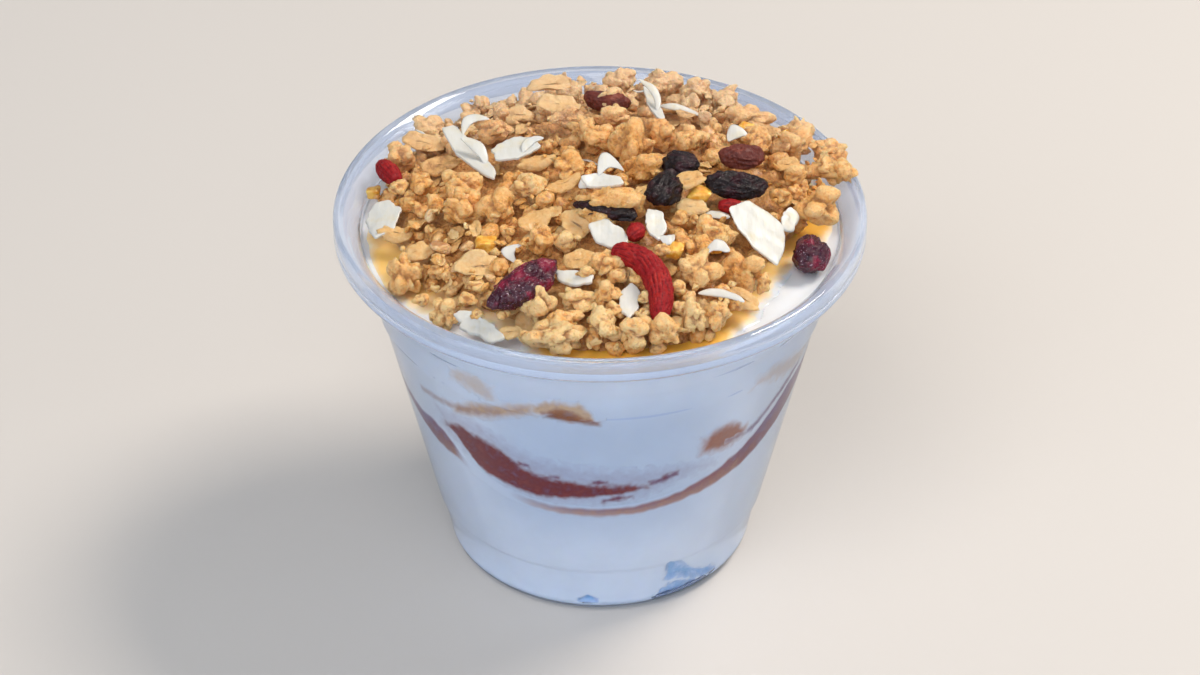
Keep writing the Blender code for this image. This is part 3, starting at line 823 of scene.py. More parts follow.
# --------------------------------------------------------------------------- cup
@dataclass(frozen=True)
class Cup:
    """Thin turned shell: raised floor, foot ring, stepped wall, rolled rim."""

    height: float = 73.5
    wall: float = 0.8
    foot_radius: float = 29.3
    foot_z: float = 4.0
    slope: float = 15.5 / 65.5
    corner: float = 3.2
    ring: float = 23.4
    floor_raise: float = 1.6
    floor_flat: float = 21.0
    # Height and half width of each small step, and half the height that it takes.
    steps: tuple[tuple[float, float], ...] = ((11.6, 0.22), (54.8, 0.20), (61.8, 0.26))
    step_half: float = 0.35
    # Radius and height of points inside the mouth, from the wall up to the lip.
    mouth: tuple[tuple[float, float], ...] = (
        (43.93, 69.2), (44.5, 70.3), (45.0, 71.0), (46.3, 72.4))
    sides: int = 180

    def line(self, z: float) -> float:
        """Outer wall radius at a height, without its small steps."""
        return self.foot_radius + (z - self.foot_z) * self.slope

    def wall_points(self, inset: float) -> list[tuple[float, float]]:
        """Points of the stepped wall, moved inwards by an inset.

        Args:
            inset: Way inwards in millimetres.

        Returns:
            The points as (radius, height), upwards.
        """
        points = []
        for height, half in self.steps:
            for z, sign in ((height - self.step_half, -1), (height + self.step_half, 1)):
                points.append((self.line(z) + sign * half - inset, z))
        return points

    def corner_points(self, radius: float, count: int = 8) -> list[tuple[float, float]]:
        """Arc of the foot corner, from the foot up to the wall.

        Args:
            radius: Radius of the arc.
            count: Straight parts of the arc.

        Returns:
            The points as (radius, height), upwards.
        """
        centre = self.line(self.corner) - self.corner
        arc = [math.radians(90 * i / count) for i in range(count + 1)]
        return [(centre + radius * math.sin(a), self.corner - radius * math.cos(a))
                for a in arc]

    def inner(self, z: float) -> float:
        """Radius of the inner wall at a height.

        Args:
            z: Height in millimetres.

        Returns:
            The radius that the filling may reach without entering the wall.
        """
        if z <= self.corner:
            centre, arc = self.line(self.corner) - self.corner, self.corner - self.wall
            drop = min(self.corner - z, arc)
            return centre + math.sqrt(arc * arc - drop * drop)
        points = [(self.line(self.corner) - self.wall, self.corner),
                  *self.wall_points(self.wall), *self.mouth]
        return along([(p[1], p[0]) for p in points], z)[0]

    def build(self) -> None:
        """Spin the profile and dress the shell."""
        outer = [(0.0, self.floor_raise), (12.0, self.floor_raise),
                 (self.floor_flat, self.floor_raise), (22.2, 0.82), (self.ring, 0.0)]
        outer += self.corner_points(self.corner) + self.wall_points(0.0)
        inner = [(0.0, self.floor_raise + self.wall), (12.0, self.floor_raise + self.wall),
                 (self.floor_flat + 0.2, self.floor_raise + self.wall),
                 (22.5, 1.62), (self.ring + 0.3, self.wall)]
        inner += self.corner_points(self.corner - self.wall) + self.wall_points(self.wall)
        # Up under the flared lip, down the skirt, round its bead, over the top, in.
        rim = [(44.75, 69.3), (45.05, 69.9), (45.5, 70.5), (46.2, 71.2), (46.9, 71.8),
               (47.5, 72.25), (47.95, 72.35), (48.15, 72.1), (48.2, 71.5), (48.2, 70.1),
               (48.25, 69.5), (48.4, 69.15), (48.7, 69.05), (48.93, 69.25), (49.0, 69.6),
               (49.0, 70.6), (48.86, 70.85), (49.0, 71.1), (49.0, 72.2), (48.9, 72.8),
               (48.6, 73.25), (48.1, self.height), (47.6, 73.42), (47.0, 73.05),
               (46.3, 72.4), (45.6, 71.7), (45.0, 71.0), (44.5, 70.3), (44.15, 69.6),
               (43.93, 69.2)]
        bm = spun(outer + rim + inner[::-1], self.sides, 1e-4)
        bmesh.ops.recalc_face_normals(bm, faces=bm.faces)
        publish(finish_mesh(bm, "cup_shell", 50.0), CupPlastic().make(), Slot.CUP, ["cup"])


# ----------------------------------------------------------------------- filling
@dataclass(frozen=True)
class Band:
    """Soft patch on the wall, from rows of (angle, low height, high height).

    `soft` is half the width of its melting edge, which is `keen` times narrower
    at the bottom, and `fray` is how far its outline wanders.
    """

    rows: tuple[tuple[float, float, float], ...]
    tone: float = 0.5
    strength: float = 1.0
    soft: float = 0.5
    fray: float = 0.35
    keen: float = 1.0

    def cover(self, angle: float, z: float) -> float:
        """How much of the patch shows at a place, from 0 to 1.

        Args:
            angle: Degrees about the axis.
            z: Height in millimetres.

        Returns:
            The share of sauce or grain over the yogurt.
        """
        ends = min(angle - self.rows[0][0], self.rows[-1][0] - angle) * WALL_DEGREE
        if ends < -3.0:
            return 0.0
        low, high = along(self.rows, angle)
        place = (angle * WALL_DEGREE, z, 0.0)
        inside = min((z - low) * self.keen, high - z, ends + 0.5)
        inside += self.fray * (rough(place, 0.55, 3.0) + 0.7 * rough(place, 1.4, 9.0))
        return self.strength * ease(inside, -self.soft, self.soft)


@dataclass(frozen=True)
class WallStain:
    """Streak of sauce or grain against the wall, as a lens with soft edges."""

    name: str
    finish: WallStainFinish
    slot: Slot
    angles: tuple[float, float]
    heights: tuple[float, float]
    bands: tuple[Band, ...]
    depth: float
    nodes: tuple[str, ...] = ()
    flush: float = 0.08
    proud: float = 0.33
    least: float = 0.4
    pitch: float = 0.30

    def paint(self, angle: float, z: float) -> tuple[float, float]:
        """Cover and tone at one place on the wall.

        Args:
            angle: Degrees about the axis.
            z: Height in millimetres.

        Returns:
            The cover from 0 to 1, and the tone.
        """
        covers = [band.cover(angle, z) for band in self.bands]
        total = sum(covers)
        if total < 1e-4:
            return 0.0, self.bands[0].tone
        tone = sum(c * b.tone for c, b in zip(covers, self.bands)) / total
        return max(covers), tone

    def build(self, cup: Cup) -> None:
        """Lay a grid on the wall, cut it to the streak and give it its depth.

        Args:
            cup: The cup whose wall carries the streak.
        """
        (start, stop), (low, high) = self.angles, self.heights
        bm = bmesh.new()
        bmesh.ops.create_grid(bm, x_segments=int((stop - start) * WALL_DEGREE / self.pitch),
                              y_segments=int((high - low) / self.pitch), size=1.0)
        cover_of = bm.verts.layers.float.new("cover")
        tone_of = bm.verts.layers.float.new("tone")
        for vert in bm.verts:
            angle = start + (stop - start) * (vert.co.x + 1) / 2
            z = low + (high - low) * (vert.co.y + 1) / 2
            vert[cover_of], vert[tone_of] = self.paint(angle, z)
            rise = ease(vert[cover_of], 0.0, 0.15)
            reach = cup.inner(z) + self.flush + (self.proud - self.flush) * rise
            vert.co = (*round_axis(reach, angle), z)
        for vert in second_side(bm, cover_of):
            flat = math.hypot(vert.co.x, vert.co.y)
            inward = self.least + (self.depth - self.least) * vert[cover_of] ** 2
            vert.co.x *= 1 - inward / flat
            vert.co.y *= 1 - inward / flat
        bmesh.ops.recalc_face_normals(bm, faces=bm.faces)
        publish(finish_mesh(bm, self.name), self.finish.make(), self.slot, self.nodes)


@dataclass(frozen=True)
class Filling:
    """Two yogurt layers, the berry layer between them and the wall streaks."""

    cup: Cup
    top: float = 68.0
    mouth_radius: float = 43.0
    crown: float = 0.9
    berry_centre: float = 37.0
    berry: tuple[tuple[float, float, float], ...] = (
        (-180, 45.0, 1.6), (-160, 41.0, 2.4), (-151, 38.8, 3.4), (-145, 38.2, 5.4),
        (-140.5, 37.4, 5.2), (-136.5, 36.4, 3.2), (-132, 33.6, 1.3), (-120, 30.8, 1.2),
        (-105, 29.4, 1.4), (-90, 29.2, 1.5), (-78, 29.6, 1.7), (-66, 31.0, 2.2),
        (-55, 32.7, 3.4), (-45, 35.2, 4.8), (-36, 38.4, 6.4), (-27, 42.0, 8.4),
        (-15, 45.5, 6.0), (10, 48.0, 2.8), (60, 49.0, 1.8), (120, 48.5, 1.6),
        (180, 45.0, 1.6))
    berry_shows: tuple[tuple[float, float, float], ...] = (
        (-180, 0.7, 0.4), (-160, 0.8, 0.3), (-152, 0.9, 0.3), (-145, 0.9, 0.5),
        (-137, 0.9, 0.8), (-133.5, 0.15, 0.5), (-131, 0.0, 0.3), (-118, 0.0, 0.6),
        (-110, 0.45, 0.9), (-100, 0.75, 1.0), (-60, 0.95, 0.9), (-46, 1.0, 0.6),
        (-36, 1.0, 0.40), (-20, 1.0, 0.25), (20, 0.8, 0.3), (90, 0.7, 0.4),
        (180, 0.7, 0.4))
    pockets: tuple[Band, ...] = (
        Band(((-64.4, 6.8, 11.6), (-61.0, 6.2, 11.2), (-57.0, 5.4, 8.8), (-54.0, 4.8, 6.8),
              (-48.0, 3.2, 4.9), (-42.0, 2.4, 3.4)), strength=0.85, soft=0.6, fray=1.0),
        Band(((-68.5, 1.4, 2.4), (-64.0, 0.7, 4.6), (-60.0, 0.8, 4.4), (-56.0, 0.9, 3.7),
              (-49.0, 0.8, 2.5), (-42.5, 0.9, 1.6)), strength=0.7, soft=0.8, fray=0.9),
        Band(((-97.2, 2.2, 3.0), (-94.6, 2.0, 4.4), (-92.0, 2.2, 3.2)), strength=0.9,
             soft=0.5, fray=0.3))
    margin: float = 1.3

    def surface(self, x: float, y: float) -> float:
        """Height of the yogurt's top."""
        out = math.hypot(x, y) / self.mouth_radius
        fold = 0.35 * math.sin(x * 0.16 + 0.8) * math.cos(y * 0.13)
        return self.top + self.crown * (1 - out ** 2) + fold * out

    def berry_mid(self, angle: float, fraction: float) -> float:
        """Mid height of the berry layer."""
        at_wall = along(self.berry, angle)[0]
        wave = 0.8 * math.sin(math.radians(3 * angle)) * fraction * (1 - fraction)
        rise = (at_wall - self.berry_centre) * fraction ** 1.6
        return self.berry_centre + rise + wave

    def berry_half(self, angle: float, fraction: float) -> float:
        """Half thickness of the berry layer, without its soft lip."""
        return 0.6 + (along(self.berry, angle)[1] / 2 - 0.6) * fraction ** 4

    def air_and_shade(self, angle: float, z: float) -> float:
        """Share of an air pocket at a place on the lower wall, from 0 to 1; the yogurt dents
        there and gets painted shade.
        """
        return max(pocket.cover(angle, z) for pocket in self.pockets)

    def pulled(self, rings: Sequence[float], levels: Sequence[float], sides: int,
               shape: Callable[[float, float, float], tuple[float, float]],
               ) -> bmesh.types.BMesh:
        """Turn a unit block and move each point to its place in the cup.

        Args:
            rings: Radius fractions of the two faces.
            levels: Height fractions of the side.
            sides: Number of sides around.
            shape: Gives (radius, height) from (angle, fraction, level).

        Returns:
            The closed mesh in millimetres.
        """
        bm = spun([(f, 0.0) for f in rings] + [(1.0, v) for v in levels]
                  + [(f, 1.0) for f in reversed(rings)], sides)
        for vert in bm.verts:
            x, y, level = vert.co
            angle = turn_of(x, y)
            reach, z = shape(angle, min(math.hypot(x, y), 1.0), level)
            vert.co = (*round_axis(reach, angle), z)
        bmesh.ops.recalc_face_normals(bm, faces=bm.faces)
        return bm

    def lower_shape(self, angle: float, fraction: float,
                    level: float) -> tuple[float, float]:
        """Radius and height of a point of the lower yogurt.

        Args:
            angle: Degrees about the axis.
            fraction: Share of the radius.
            level: Share of the height.

        Returns:
            The radius and the height.
        """
        r = fraction * (self.cup.inner(self.cup.wall) + 0.2)
        low = 2.2 - 1.6 * ease(r, self.cup.floor_flat + 0.2, self.cup.ring + 0.3)
        high = self.berry_mid(angle, fraction) - self.berry_half(angle, fraction) + 0.1
        z = low + (high - low) * level
        reach = self.cup.inner(z) + 0.15
        if fraction > 0.999:
            reach -= 1.2 * self.air_and_shade(angle, z)
        return fraction * reach, z

    def upper_shape(self, angle: float, fraction: float,
                    level: float) -> tuple[float, float]:
        """Radius and height of a point of the upper yogurt.

        Args:
            angle: Degrees about the axis.
            fraction: Share of the radius.
            level: Share of the height.

        Returns:
            The radius and the height.
        """
        low = self.berry_mid(angle, fraction) + self.berry_half(angle, fraction) - 0.1
        reach = fraction * (self.cup.inner(self.top) + 0.15)
        x, y = round_axis(reach, angle)
        high = self.surface(x, y) + 0.10 * rough((x, y, 0), 0.35, 5.0)
        high += 0.7 * ease(fraction, 0.955, 1.0)
        z = low + (high - low) * level
        return fraction * (self.cup.inner(z) + 0.15), z

    def berry_shape(self, angle: float, fraction: float,
                    level: float) -> tuple[float, float]:
        """Radius and height of a point of the berry layer.

        Args:
            angle: Degrees about the axis.
            fraction: Share of the radius.
            level: Share of the height.

        Returns:
            The radius and the height.
        """
        mid, half = self.berry_mid(angle, fraction), self.berry_half(angle, fraction)
        half += self.margin * ease(fraction, 0.985, 1.0)
        z = mid + half * (2 * level - 1)
        sunk = 0.25 * ease(abs(2 * level - 1), 0.70, 1.0)
        return fraction * (self.cup.inner(z) + 0.28 - sunk), z

    def build_yogurt(self) -> None:
        """Make the two yogurt layers."""
        finish = Yogurt().make()
        rings = (0.0, 0.3, 0.6, 0.8, 0.9, 0.96, 0.985, 1.0)
        levels = [0.012 * i for i in range(1, 34)] + [0.42 + 0.04 * i for i in range(15)]
        bm = self.pulled(rings, levels, 300, self.lower_shape)
        air_and_shade_of = bm.verts.layers.float.new("air_and_shade")
        # The air share also paints shade on the yogurt there.
        for vert in bm.verts:
            if math.hypot(vert.co.x, vert.co.y) > 23.0 and vert.co.z < 14.0:
                vert[air_and_shade_of] = self.air_and_shade(turn_of(vert.co.x, vert.co.y), vert.co.z)
        publish(finish_mesh(bm, "yogurt_under"), finish, Slot.YOGURT, ["yogurt_lower"])
        rings = (0.0,) + tuple(0.04 * i for i in range(1, 24)) + (0.94, 0.965, 0.985, 1.0)
        bm = self.pulled(rings, [i / 24 for i in range(1, 24)], 240, self.upper_shape)
        bm.verts.layers.float.new("air_and_shade")
        publish(finish_mesh(bm, "yogurt_over"), finish, Slot.YOGURT, ["yogurt_upper"])

    def build_berry(self) -> None:
        """Make the berry layer with its soft lip against the wall."""
        wall_degree = 0.66
        rings = (0.0, 0.5, 0.79, 0.9, 0.97, 0.985, 0.9925, 1.0)
        bm = self.pulled(rings, [i / 16 for i in range(1, 16)], 480, self.berry_shape)
        cover_of = bm.verts.layers.float.new("cover")
        tone_of = bm.verts.layers.float.new("tone")
        for vert in bm.verts:
            angle = turn_of(vert.co.x, vert.co.y)
            mid, thick = along(self.berry, angle)
            shows, tone = along(self.berry_shows, angle)
            place = (angle * wall_degree, vert.co.z, 0.0)
            off = vert.co.z - mid
            inside = thick / 2 - abs(off) + 0.35 * rough(place, 0.5, 2.0)
            vert[cover_of] = shows * ease(inside, -0.75, 0.35)
            vert[tone_of] = tone - 0.35 * ease(off, -thick / 3, thick / 2)
        finish = WallStainFinish("berry_layer", (0.17, 0.060, 0.19), (0.28, 0.060, 0.070),
                                 (0.52, 0.23, 0.13), 0.3)
        publish(finish_mesh(bm, "berry_layer"), finish.make(), Slot.SAUCE, ["berry_sauce"])

    def build_streaks(self) -> None:
        """Make the berry swirl, the oat seam and the smaller stains."""
        sauce = WallStainFinish("berry_swirl", (0.16, 0.040, 0.14), (0.225, 0.032, 0.036),
                                (0.38, 0.085, 0.060), 0.35)
        swirl = Band(((-136.5, 42.5, 43.5), (-133.5, 41.0, 44.6), (-131, 38.6, 45.0),
                      (-127, 35.2, 44.4), (-121.5, 34.0, 43.6), (-118, 33.4, 42.6),
                      (-115, 32.9, 41.0), (-112, 32.6, 39.4), (-109, 32.4, 38.6),
                      (-102, 32.7, 38.0), (-94.4, 33.4, 37.2), (-87, 34.1, 37.0),
                      (-82, 34.5, 37.0), (-79.5, 34.9, 36.6), (-77, 35.3, 35.9)),
                     0.65, 1.0, 1.3, 0.6, 1.8)
        halo = Band(((-139, 41.5, 46.5), (-130, 37.5, 48.5), (-120, 33.5, 47.0),
                     (-110, 31.8, 43.0), (-95, 31.8, 41.5), (-80, 32.8, 40.5),
                     (-66, 36.0, 39.8), (-56, 37.5, 37.7)), 0.0, 0.26, 2.4, 1.2)
        crumbs = tuple(Band(rows, 0.35, 0.95, 0.8, 0.4) for rows in (
            ((-91.8, 37.2, 38.3), (-90.2, 37.0, 38.6), (-88.6, 37.3, 38.1)),
            ((-103.8, 38.0, 38.9), (-102.0, 37.9, 39.0)),
            ((-112.5, 39.8, 40.9), (-110.5, 39.7, 40.8)),
            ((-75.0, 35.9, 37.0), (-71.5, 36.1, 38.2), (-68.0, 37.3, 38.4)),
            ((-88.6, 32.2, 33.0), (-85.0, 32.4, 34.0), (-81.0, 33.0, 33.8))))
        WallStain("berry_swirl", sauce, Slot.SAUCE, (-142.0, -54.0), (29.5, 51.0),
                  (swirl, halo) + crumbs, 5.0, ("sauce_swirl",)).build(self.cup)
        grain = WallStainFinish("wet_grain", (0.22, 0.055, 0.020), (0.44, 0.18, 0.085),
                                (0.74, 0.48, 0.27), 0.45)
        seam = (Band(((-131, 48.3, 50.4), (-125, 49.9, 52.9), (-119.6, 51.0, 54.4),
                      (-114, 53.0, 55.9), (-107.5, 55.1, 57.6)), 0.85, 0.9, 1.4, 0.5),
                Band(((-145, 47.9, 49.0), (-138, 48.5, 49.8), (-131, 48.8, 50.4),
                      (-124, 50.2, 51.6), (-117, 51.9, 53.0)), 0.35, 0.60, 0.9, 0.4),
                Band(((-128.5, 58.0, 60.2), (-124.5, 57.3, 61.2), (-121, 56.5, 61.2),
                      (-118, 56.0, 59.4)), 1.0, 0.55, 1.3, 0.8),
                Band(((-106, 55.8, 57.6), (-103, 55.3, 59.0), (-99.2, 54.6, 59.1),
                      (-95.5, 54.4, 58.9), (-93, 54.1, 57.6), (-91.2, 53.7, 54.9)),
                     0.95, 0.95, 1.1, 0.7),
                Band(((-103.2, 54.8, 55.9), (-100.5, 54.6, 57.4), (-97.4, 54.3, 57.0),
                      (-94.4, 54.0, 55.6), (-91.0, 53.6, 54.5)), -0.3, 1.0, 0.9, 0.4))
        WallStain("oat_streak", grain, Slot.MUESLI, (-148.0, -87.0), (45.5, 64.0),
                  seam, 3.5, ("oat_seam",)).build(self.cup)
        sunken = WallStainFinish("sunken_grain", (0.24, 0.060, 0.035),
                                 (0.44, 0.15, 0.085), (0.60, 0.30, 0.17))
        patch = (Band(((-60.0, 41.6, 44.8), (-58, 41.1, 46.4), (-54, 40.5, 47.0),
                       (-50, 40.7, 46.0), (-47, 41.4, 43.6)), 0.45, 1.0, 1.7, 0.6),)
        WallStain("sunken_grain", sunken, Slot.MUESLI, (-65.0, -41.0), (37.0, 50.5),
                  patch, 2.8, ("buried_granola",)).build(self.cup)
        smear = (Band(((-46, 54.4, 56.2), (-41, 53.0, 56.9), (-34, 51.4, 56.2),
                       (-28, 50.4, 54.6), (-22, 50.4, 53.0)), 0.8, 0.5, 1.6, 0.9),)
        WallStain("grain_smear", grain, Slot.MUESLI, (-50.0, -18.0), (47.5, 61.0),
                  smear, 0.8).build(self.cup)
        thread = (Band(((-52, 41.6, 42.6), (-46.4, 41.0, 42.2), (-42.5, 41.3, 42.8),
                        (-39, 42.8, 44.4), (-35.3, 44.6, 46.4), (-31, 46.2, 48.2),
                        (-24, 49.0, 51.0)), -0.1, 0.8, 0.9, 0.4),)
        WallStain("berry_thread", sauce, Slot.SAUCE, (-56.0, -20.0), (39.0, 54.0),
                  thread, 0.8).build(self.cup)

    def build(self) -> None:
        """Make every part of the filling."""
        self.build_yogurt()
        self.build_berry()
        self.build_streaks()


# -------------------------------------------------------------------- loose kinds
@dataclass
class Shape:
    """One small closed shape that is repeated in the heap."""

    verts: np.ndarray
    faces: np.ndarray
    deep: np.ndarray

    @classmethod
    def of(cls, bm: bmesh.types.BMesh, deep: Sequence[float] | None = None) -> Shape:
        """Take a bmesh as arrays of vertices, triangles and crease values.

        Args:
            bm: The mesh; it is freed.
            deep: Crease value of each vertex, or none.

        Returns:
            The shape.
        """
        bmesh.ops.triangulate(bm, faces=bm.faces)
        verts = np.array([tuple(v.co) for v in bm.verts])
        faces = np.array([[v.index for v in f.verts] for f in bm.faces])
        bm.free()
        values = np.full(len(verts), 0.5) if deep is None else np.array(deep)
        return cls(verts, faces, values)


def lump(rng: random.Random, detail: int, knobs: int, flakes: int,
         body: float = 0.58) -> Shape:
    """Knobbly cluster: a sphere pushed out to the union of many small ones.

    Args:
        rng: Seeded source of chance.
        detail: Subdivisions of the sphere.
        knobs: Number of round knobs.
        flakes: Number of flat grains pressed in.
        body: Radius of the round middle.

    Returns:
        The shape, about one unit in radius, with its creases marked.
    """
    bm = bmesh.new()
    bmesh.ops.create_icosphere(bm, subdivisions=detail, radius=1.0)
    bm.verts.ensure_lookup_table()
    rays = np.array([tuple(v.co.normalized()) for v in bm.verts])
    reach = np.full(len(rays), body)
    for index in range(knobs + flakes):
        heading = any_way(rng)
        if index < knobs:
            size = 0.18 + 0.32 * rng.random() ** 1.4
            axes = np.array([size, size * rng.uniform(0.6, 1.1), size * rng.uniform(0.7, 1)])
            centre = np.array(heading) * rng.uniform(0.40, 0.70)
        else:
            axes = np.array([0.50, 0.36, 0.10]) * rng.uniform(0.7, 1.2)
            centre = np.array(heading) * rng.uniform(0.48, 0.70)
        spin = rotation(rng.uniform(0, math.tau), Vector((rng.random(), 1, 0.3)))
        basis = np.array(spin) / axes[:, None]
        ray, start = rays @ basis.T, basis @ centre
        long = (ray * ray).sum(axis=1)
        half = ray @ start
        inner = half * half - long * (start @ start - 1.0)
        hit = np.where(inner > 0, (half + np.sqrt(np.maximum(inner, 0))) / long, 0.0)
        reach = np.maximum(reach, hit)
    ends = np.array([[v.index for v in e.verts] for e in bm.edges])
    count = np.bincount(ends.ravel(), minlength=len(rays))

    def averaged(values: np.ndarray) -> np.ndarray:
        """Mean of each vertex's neighbours."""
        total = np.bincount(ends[:, 0], values[ends[:, 1]], len(rays))
        total += np.bincount(ends[:, 1], values[ends[:, 0]], len(rays))
        return total / count

    reach = 0.7 * reach + 0.3 * averaged(reach)
    seed = rng.uniform(0, 50)
    grit = np.array([0.16 * rough(v.co, 1.7, seed) - 0.10 * abs(rough(v.co, 4.2, seed))
                     + 0.055 * rough(v.co, 9.0, seed) + 0.045 * rough(v.co, 16.0, seed)
                     for v in bm.verts])
    reach = reach + grit
    broad = reach
    for _ in range(3 * 2 ** (detail - 3) if detail > 3 else 4):
        broad = averaged(broad)
    # Hollows get deep above 0.5, for painted shade, and ridges below it, for painted
    # highlight.
    deep = np.clip(0.5 + 4.2 * (broad - reach), 0.0, 1.0)
    reach = reach / np.quantile(reach, 0.88)
    for vert, ray, length in zip(bm.verts, rays, reach):
        vert.co = Vector(ray * length)
    return Shape.of(bm, deep)


def flake(rng: random.Random, curl: float) -> Shape:
    """Rolled oat: a thin curled oval whose `deep` is the way off its crease.

    Args:
        rng: Seeded source of chance.
        curl: How far its ends bend up, as a share of its half length.

    Returns:
        The shape, about one unit in half length.
    """
    bm = bmesh.new()
    bmesh.ops.create_uvsphere(bm, u_segments=22, v_segments=9, radius=1.0)
    seed, width = rng.uniform(0, 50), rng.uniform(0.60, 0.78)
    cup, twist = rng.uniform(-0.2, 0.5), rng.uniform(-0.25, 0.25)
    deep = []
    for vert in bm.verts:
        x, y, z = vert.co
        edge = 1 + 0.26 * rough((x, y, 0), 1.5, seed)
        edge += 0.16 * rough((x, y, 0), 4.0, seed)
        x, y = x * edge, y * edge
        groove = math.exp(-(y / 0.16) ** 2) * max(0.0, 1 - x * x)
        height = 0.15 * z - 0.05 * groove + curl * x * x + cup * y * y + twist * x * y
        height += 0.16 * rough((x, y, 0), 1.8, seed)
        height += 0.06 * rough((x, y, 0), 5.0, seed)
        deep.append(abs(y) + 0.5 * max(0.0, abs(x) - 0.62))
        vert.co = (x, y * width, height)
    return Shape.of(bm, deep)


def crumb(rng: random.Random) -> Shape:
    """Small broken grain with a few flat sides.

    Args:
        rng: Seeded source of chance.

    Returns:
        The shape, about one unit in radius or half length.
    """
    bm = bmesh.new()
    bmesh.ops.create_icosphere(bm, subdivisions=2, radius=1.0)
    seed, squash = rng.uniform(0, 50), rng.uniform(0.35, 0.8)
    sides = [any_way(rng) for _ in range(4)]
    for vert in bm.verts:
        for side in sides:
            vert.co -= side * max(0.0, vert.co.dot(side) - 0.45) * 0.85
        vert.co *= 1 + 0.55 * rough(vert.co, 1.5, seed)
        vert.co.z *= squash
    return Shape.of(bm)


def chopped(rng: random.Random) -> Shape:
    """Chopped nut: a rounded block with flat broken sides and one brown side.

    Args:
        rng: Seeded source of chance.

    Returns:
        The shape, about one unit in radius or half length.
    """
    bm = bmesh.new()
    bmesh.ops.create_icosphere(bm, subdivisions=3, radius=1.0)
    planes = [any_way(rng) for _ in range(5)]
    seed, deep = rng.uniform(0, 50), []
    for vert in bm.verts:
        for plane in planes:
            over = vert.co.dot(plane) - 0.62
            if over > 0:
                vert.co -= plane * over * 0.9
        deep.append(0.5 + 0.4 * ease(vert.co.dot(planes[0]), 0.50, 0.60))
        vert.co += vert.co.normalized() * 0.05 * rough(vert.co, 4.0, seed)
        vert.co.z *= 0.75
    return Shape.of(bm, deep)


def cube_bit(rng: random.Random) -> Shape:
    """Soft cube of candied fruit with worn corners.

    Args:
        rng: Seeded source of chance.

    Returns:
        The shape, about one unit in radius or half length.
    """
    bm = bmesh.new()
    bmesh.ops.create_cube(bm, size=1.7)
    bmesh.ops.bevel(bm, geom=bm.edges[:], offset=0.28, affect="EDGES", segments=2,
                    profile=0.5, material=-1)
    bmesh.ops.subdivide_edges(bm, edges=bm.edges, cuts=2, use_grid_fill=True)
    seed, lean = rng.uniform(0, 50), rng.uniform(-0.4, 0.4)
    for vert in bm.verts:
        vert.co += vert.co.normalized() * 0.42 * rough(vert.co, 0.9, seed)
        vert.co.x += lean * vert.co.z
        vert.co.z *= 0.8
    return Shape.of(bm)


def shred(rng: random.Random) -> Shape:
    """Thin bent strip of coconut or of a broken flake.

    Args:
        rng: Seeded source of chance.

    Returns:
        The shape, about one unit in radius or half length.
    """
    bm = bmesh.new()
    bmesh.ops.create_uvsphere(bm, u_segments=10, v_segments=16, radius=1.0)
    seed, bend = rng.uniform(0, 50), rng.uniform(-0.5, 0.5)
    for vert in bm.verts:
        x, y, z = vert.co
        wide = 0.16 * (1 + 0.3 * rough((z, 0, 0), 2.0, seed))
        vert.co = (z, y * wide + bend * z * z * 0.6,
                   x * wide * 0.45 + 0.15 * rough((z, 1, 0), 1.2, seed))
    return Shape.of(bm)


class Kind:
    """One kind of loose piece, kept as stamps and joined into one mesh."""

    def __init__(self, name: str, shapes: list[Shape], finish: bpy.types.Material,
                 slot: Slot, limit: int) -> None:
        """Keep the kind's shapes and how it is finished."""
        self.name, self.shapes, self.finish, self.slot = name, shapes, finish, slot
        self.limit, self.count = limit, 0
        self.parts: list[tuple[np.ndarray, np.ndarray, np.ndarray, float]] = []

    def pick(self, rng: random.Random) -> Shape:
        """Choose one of the kind's shapes."""
        return self.shapes[rng.randrange(len(self.shapes))]

    def room(self) -> bool:
        """Whether another piece fits under the kind's triangle limit."""
        return self.count + max(len(s.faces) for s in self.shapes) < self.limit

    def add(self, shape: Shape, points: np.ndarray, tone: float) -> None:
        """Keep one placed piece."""
        self.parts.append((points, shape.faces, shape.deep, tone))
        self.count += len(shape.faces)

    def publish(self) -> None:
        """Join the pieces into one mesh with its attributes."""
        starts = np.cumsum([0] + [len(p[0]) for p in self.parts[:-1]])
        verts = np.concatenate([p[0] for p in self.parts]) * MM
        faces = np.concatenate([p[1] + s for p, s in zip(self.parts, starts)])
        mesh = bpy.data.meshes.new(self.name)
        mesh.from_pydata(verts.tolist(), [], faces.tolist())
        for name, values in (
                ("deep", np.concatenate([p[2] for p in self.parts])),
                ("tone", np.concatenate([np.full(len(p[0]), p[3]) for p in self.parts]))):
            layer = mesh.attributes.new(name, "FLOAT", "POINT")
            layer.data.foreach_set("value", values.astype(np.float32))
        mesh.shade_smooth()
        publish(mesh, self.finish, self.slot)
        LOG.info("%s: %d loose pieces", self.name, len(self.parts))


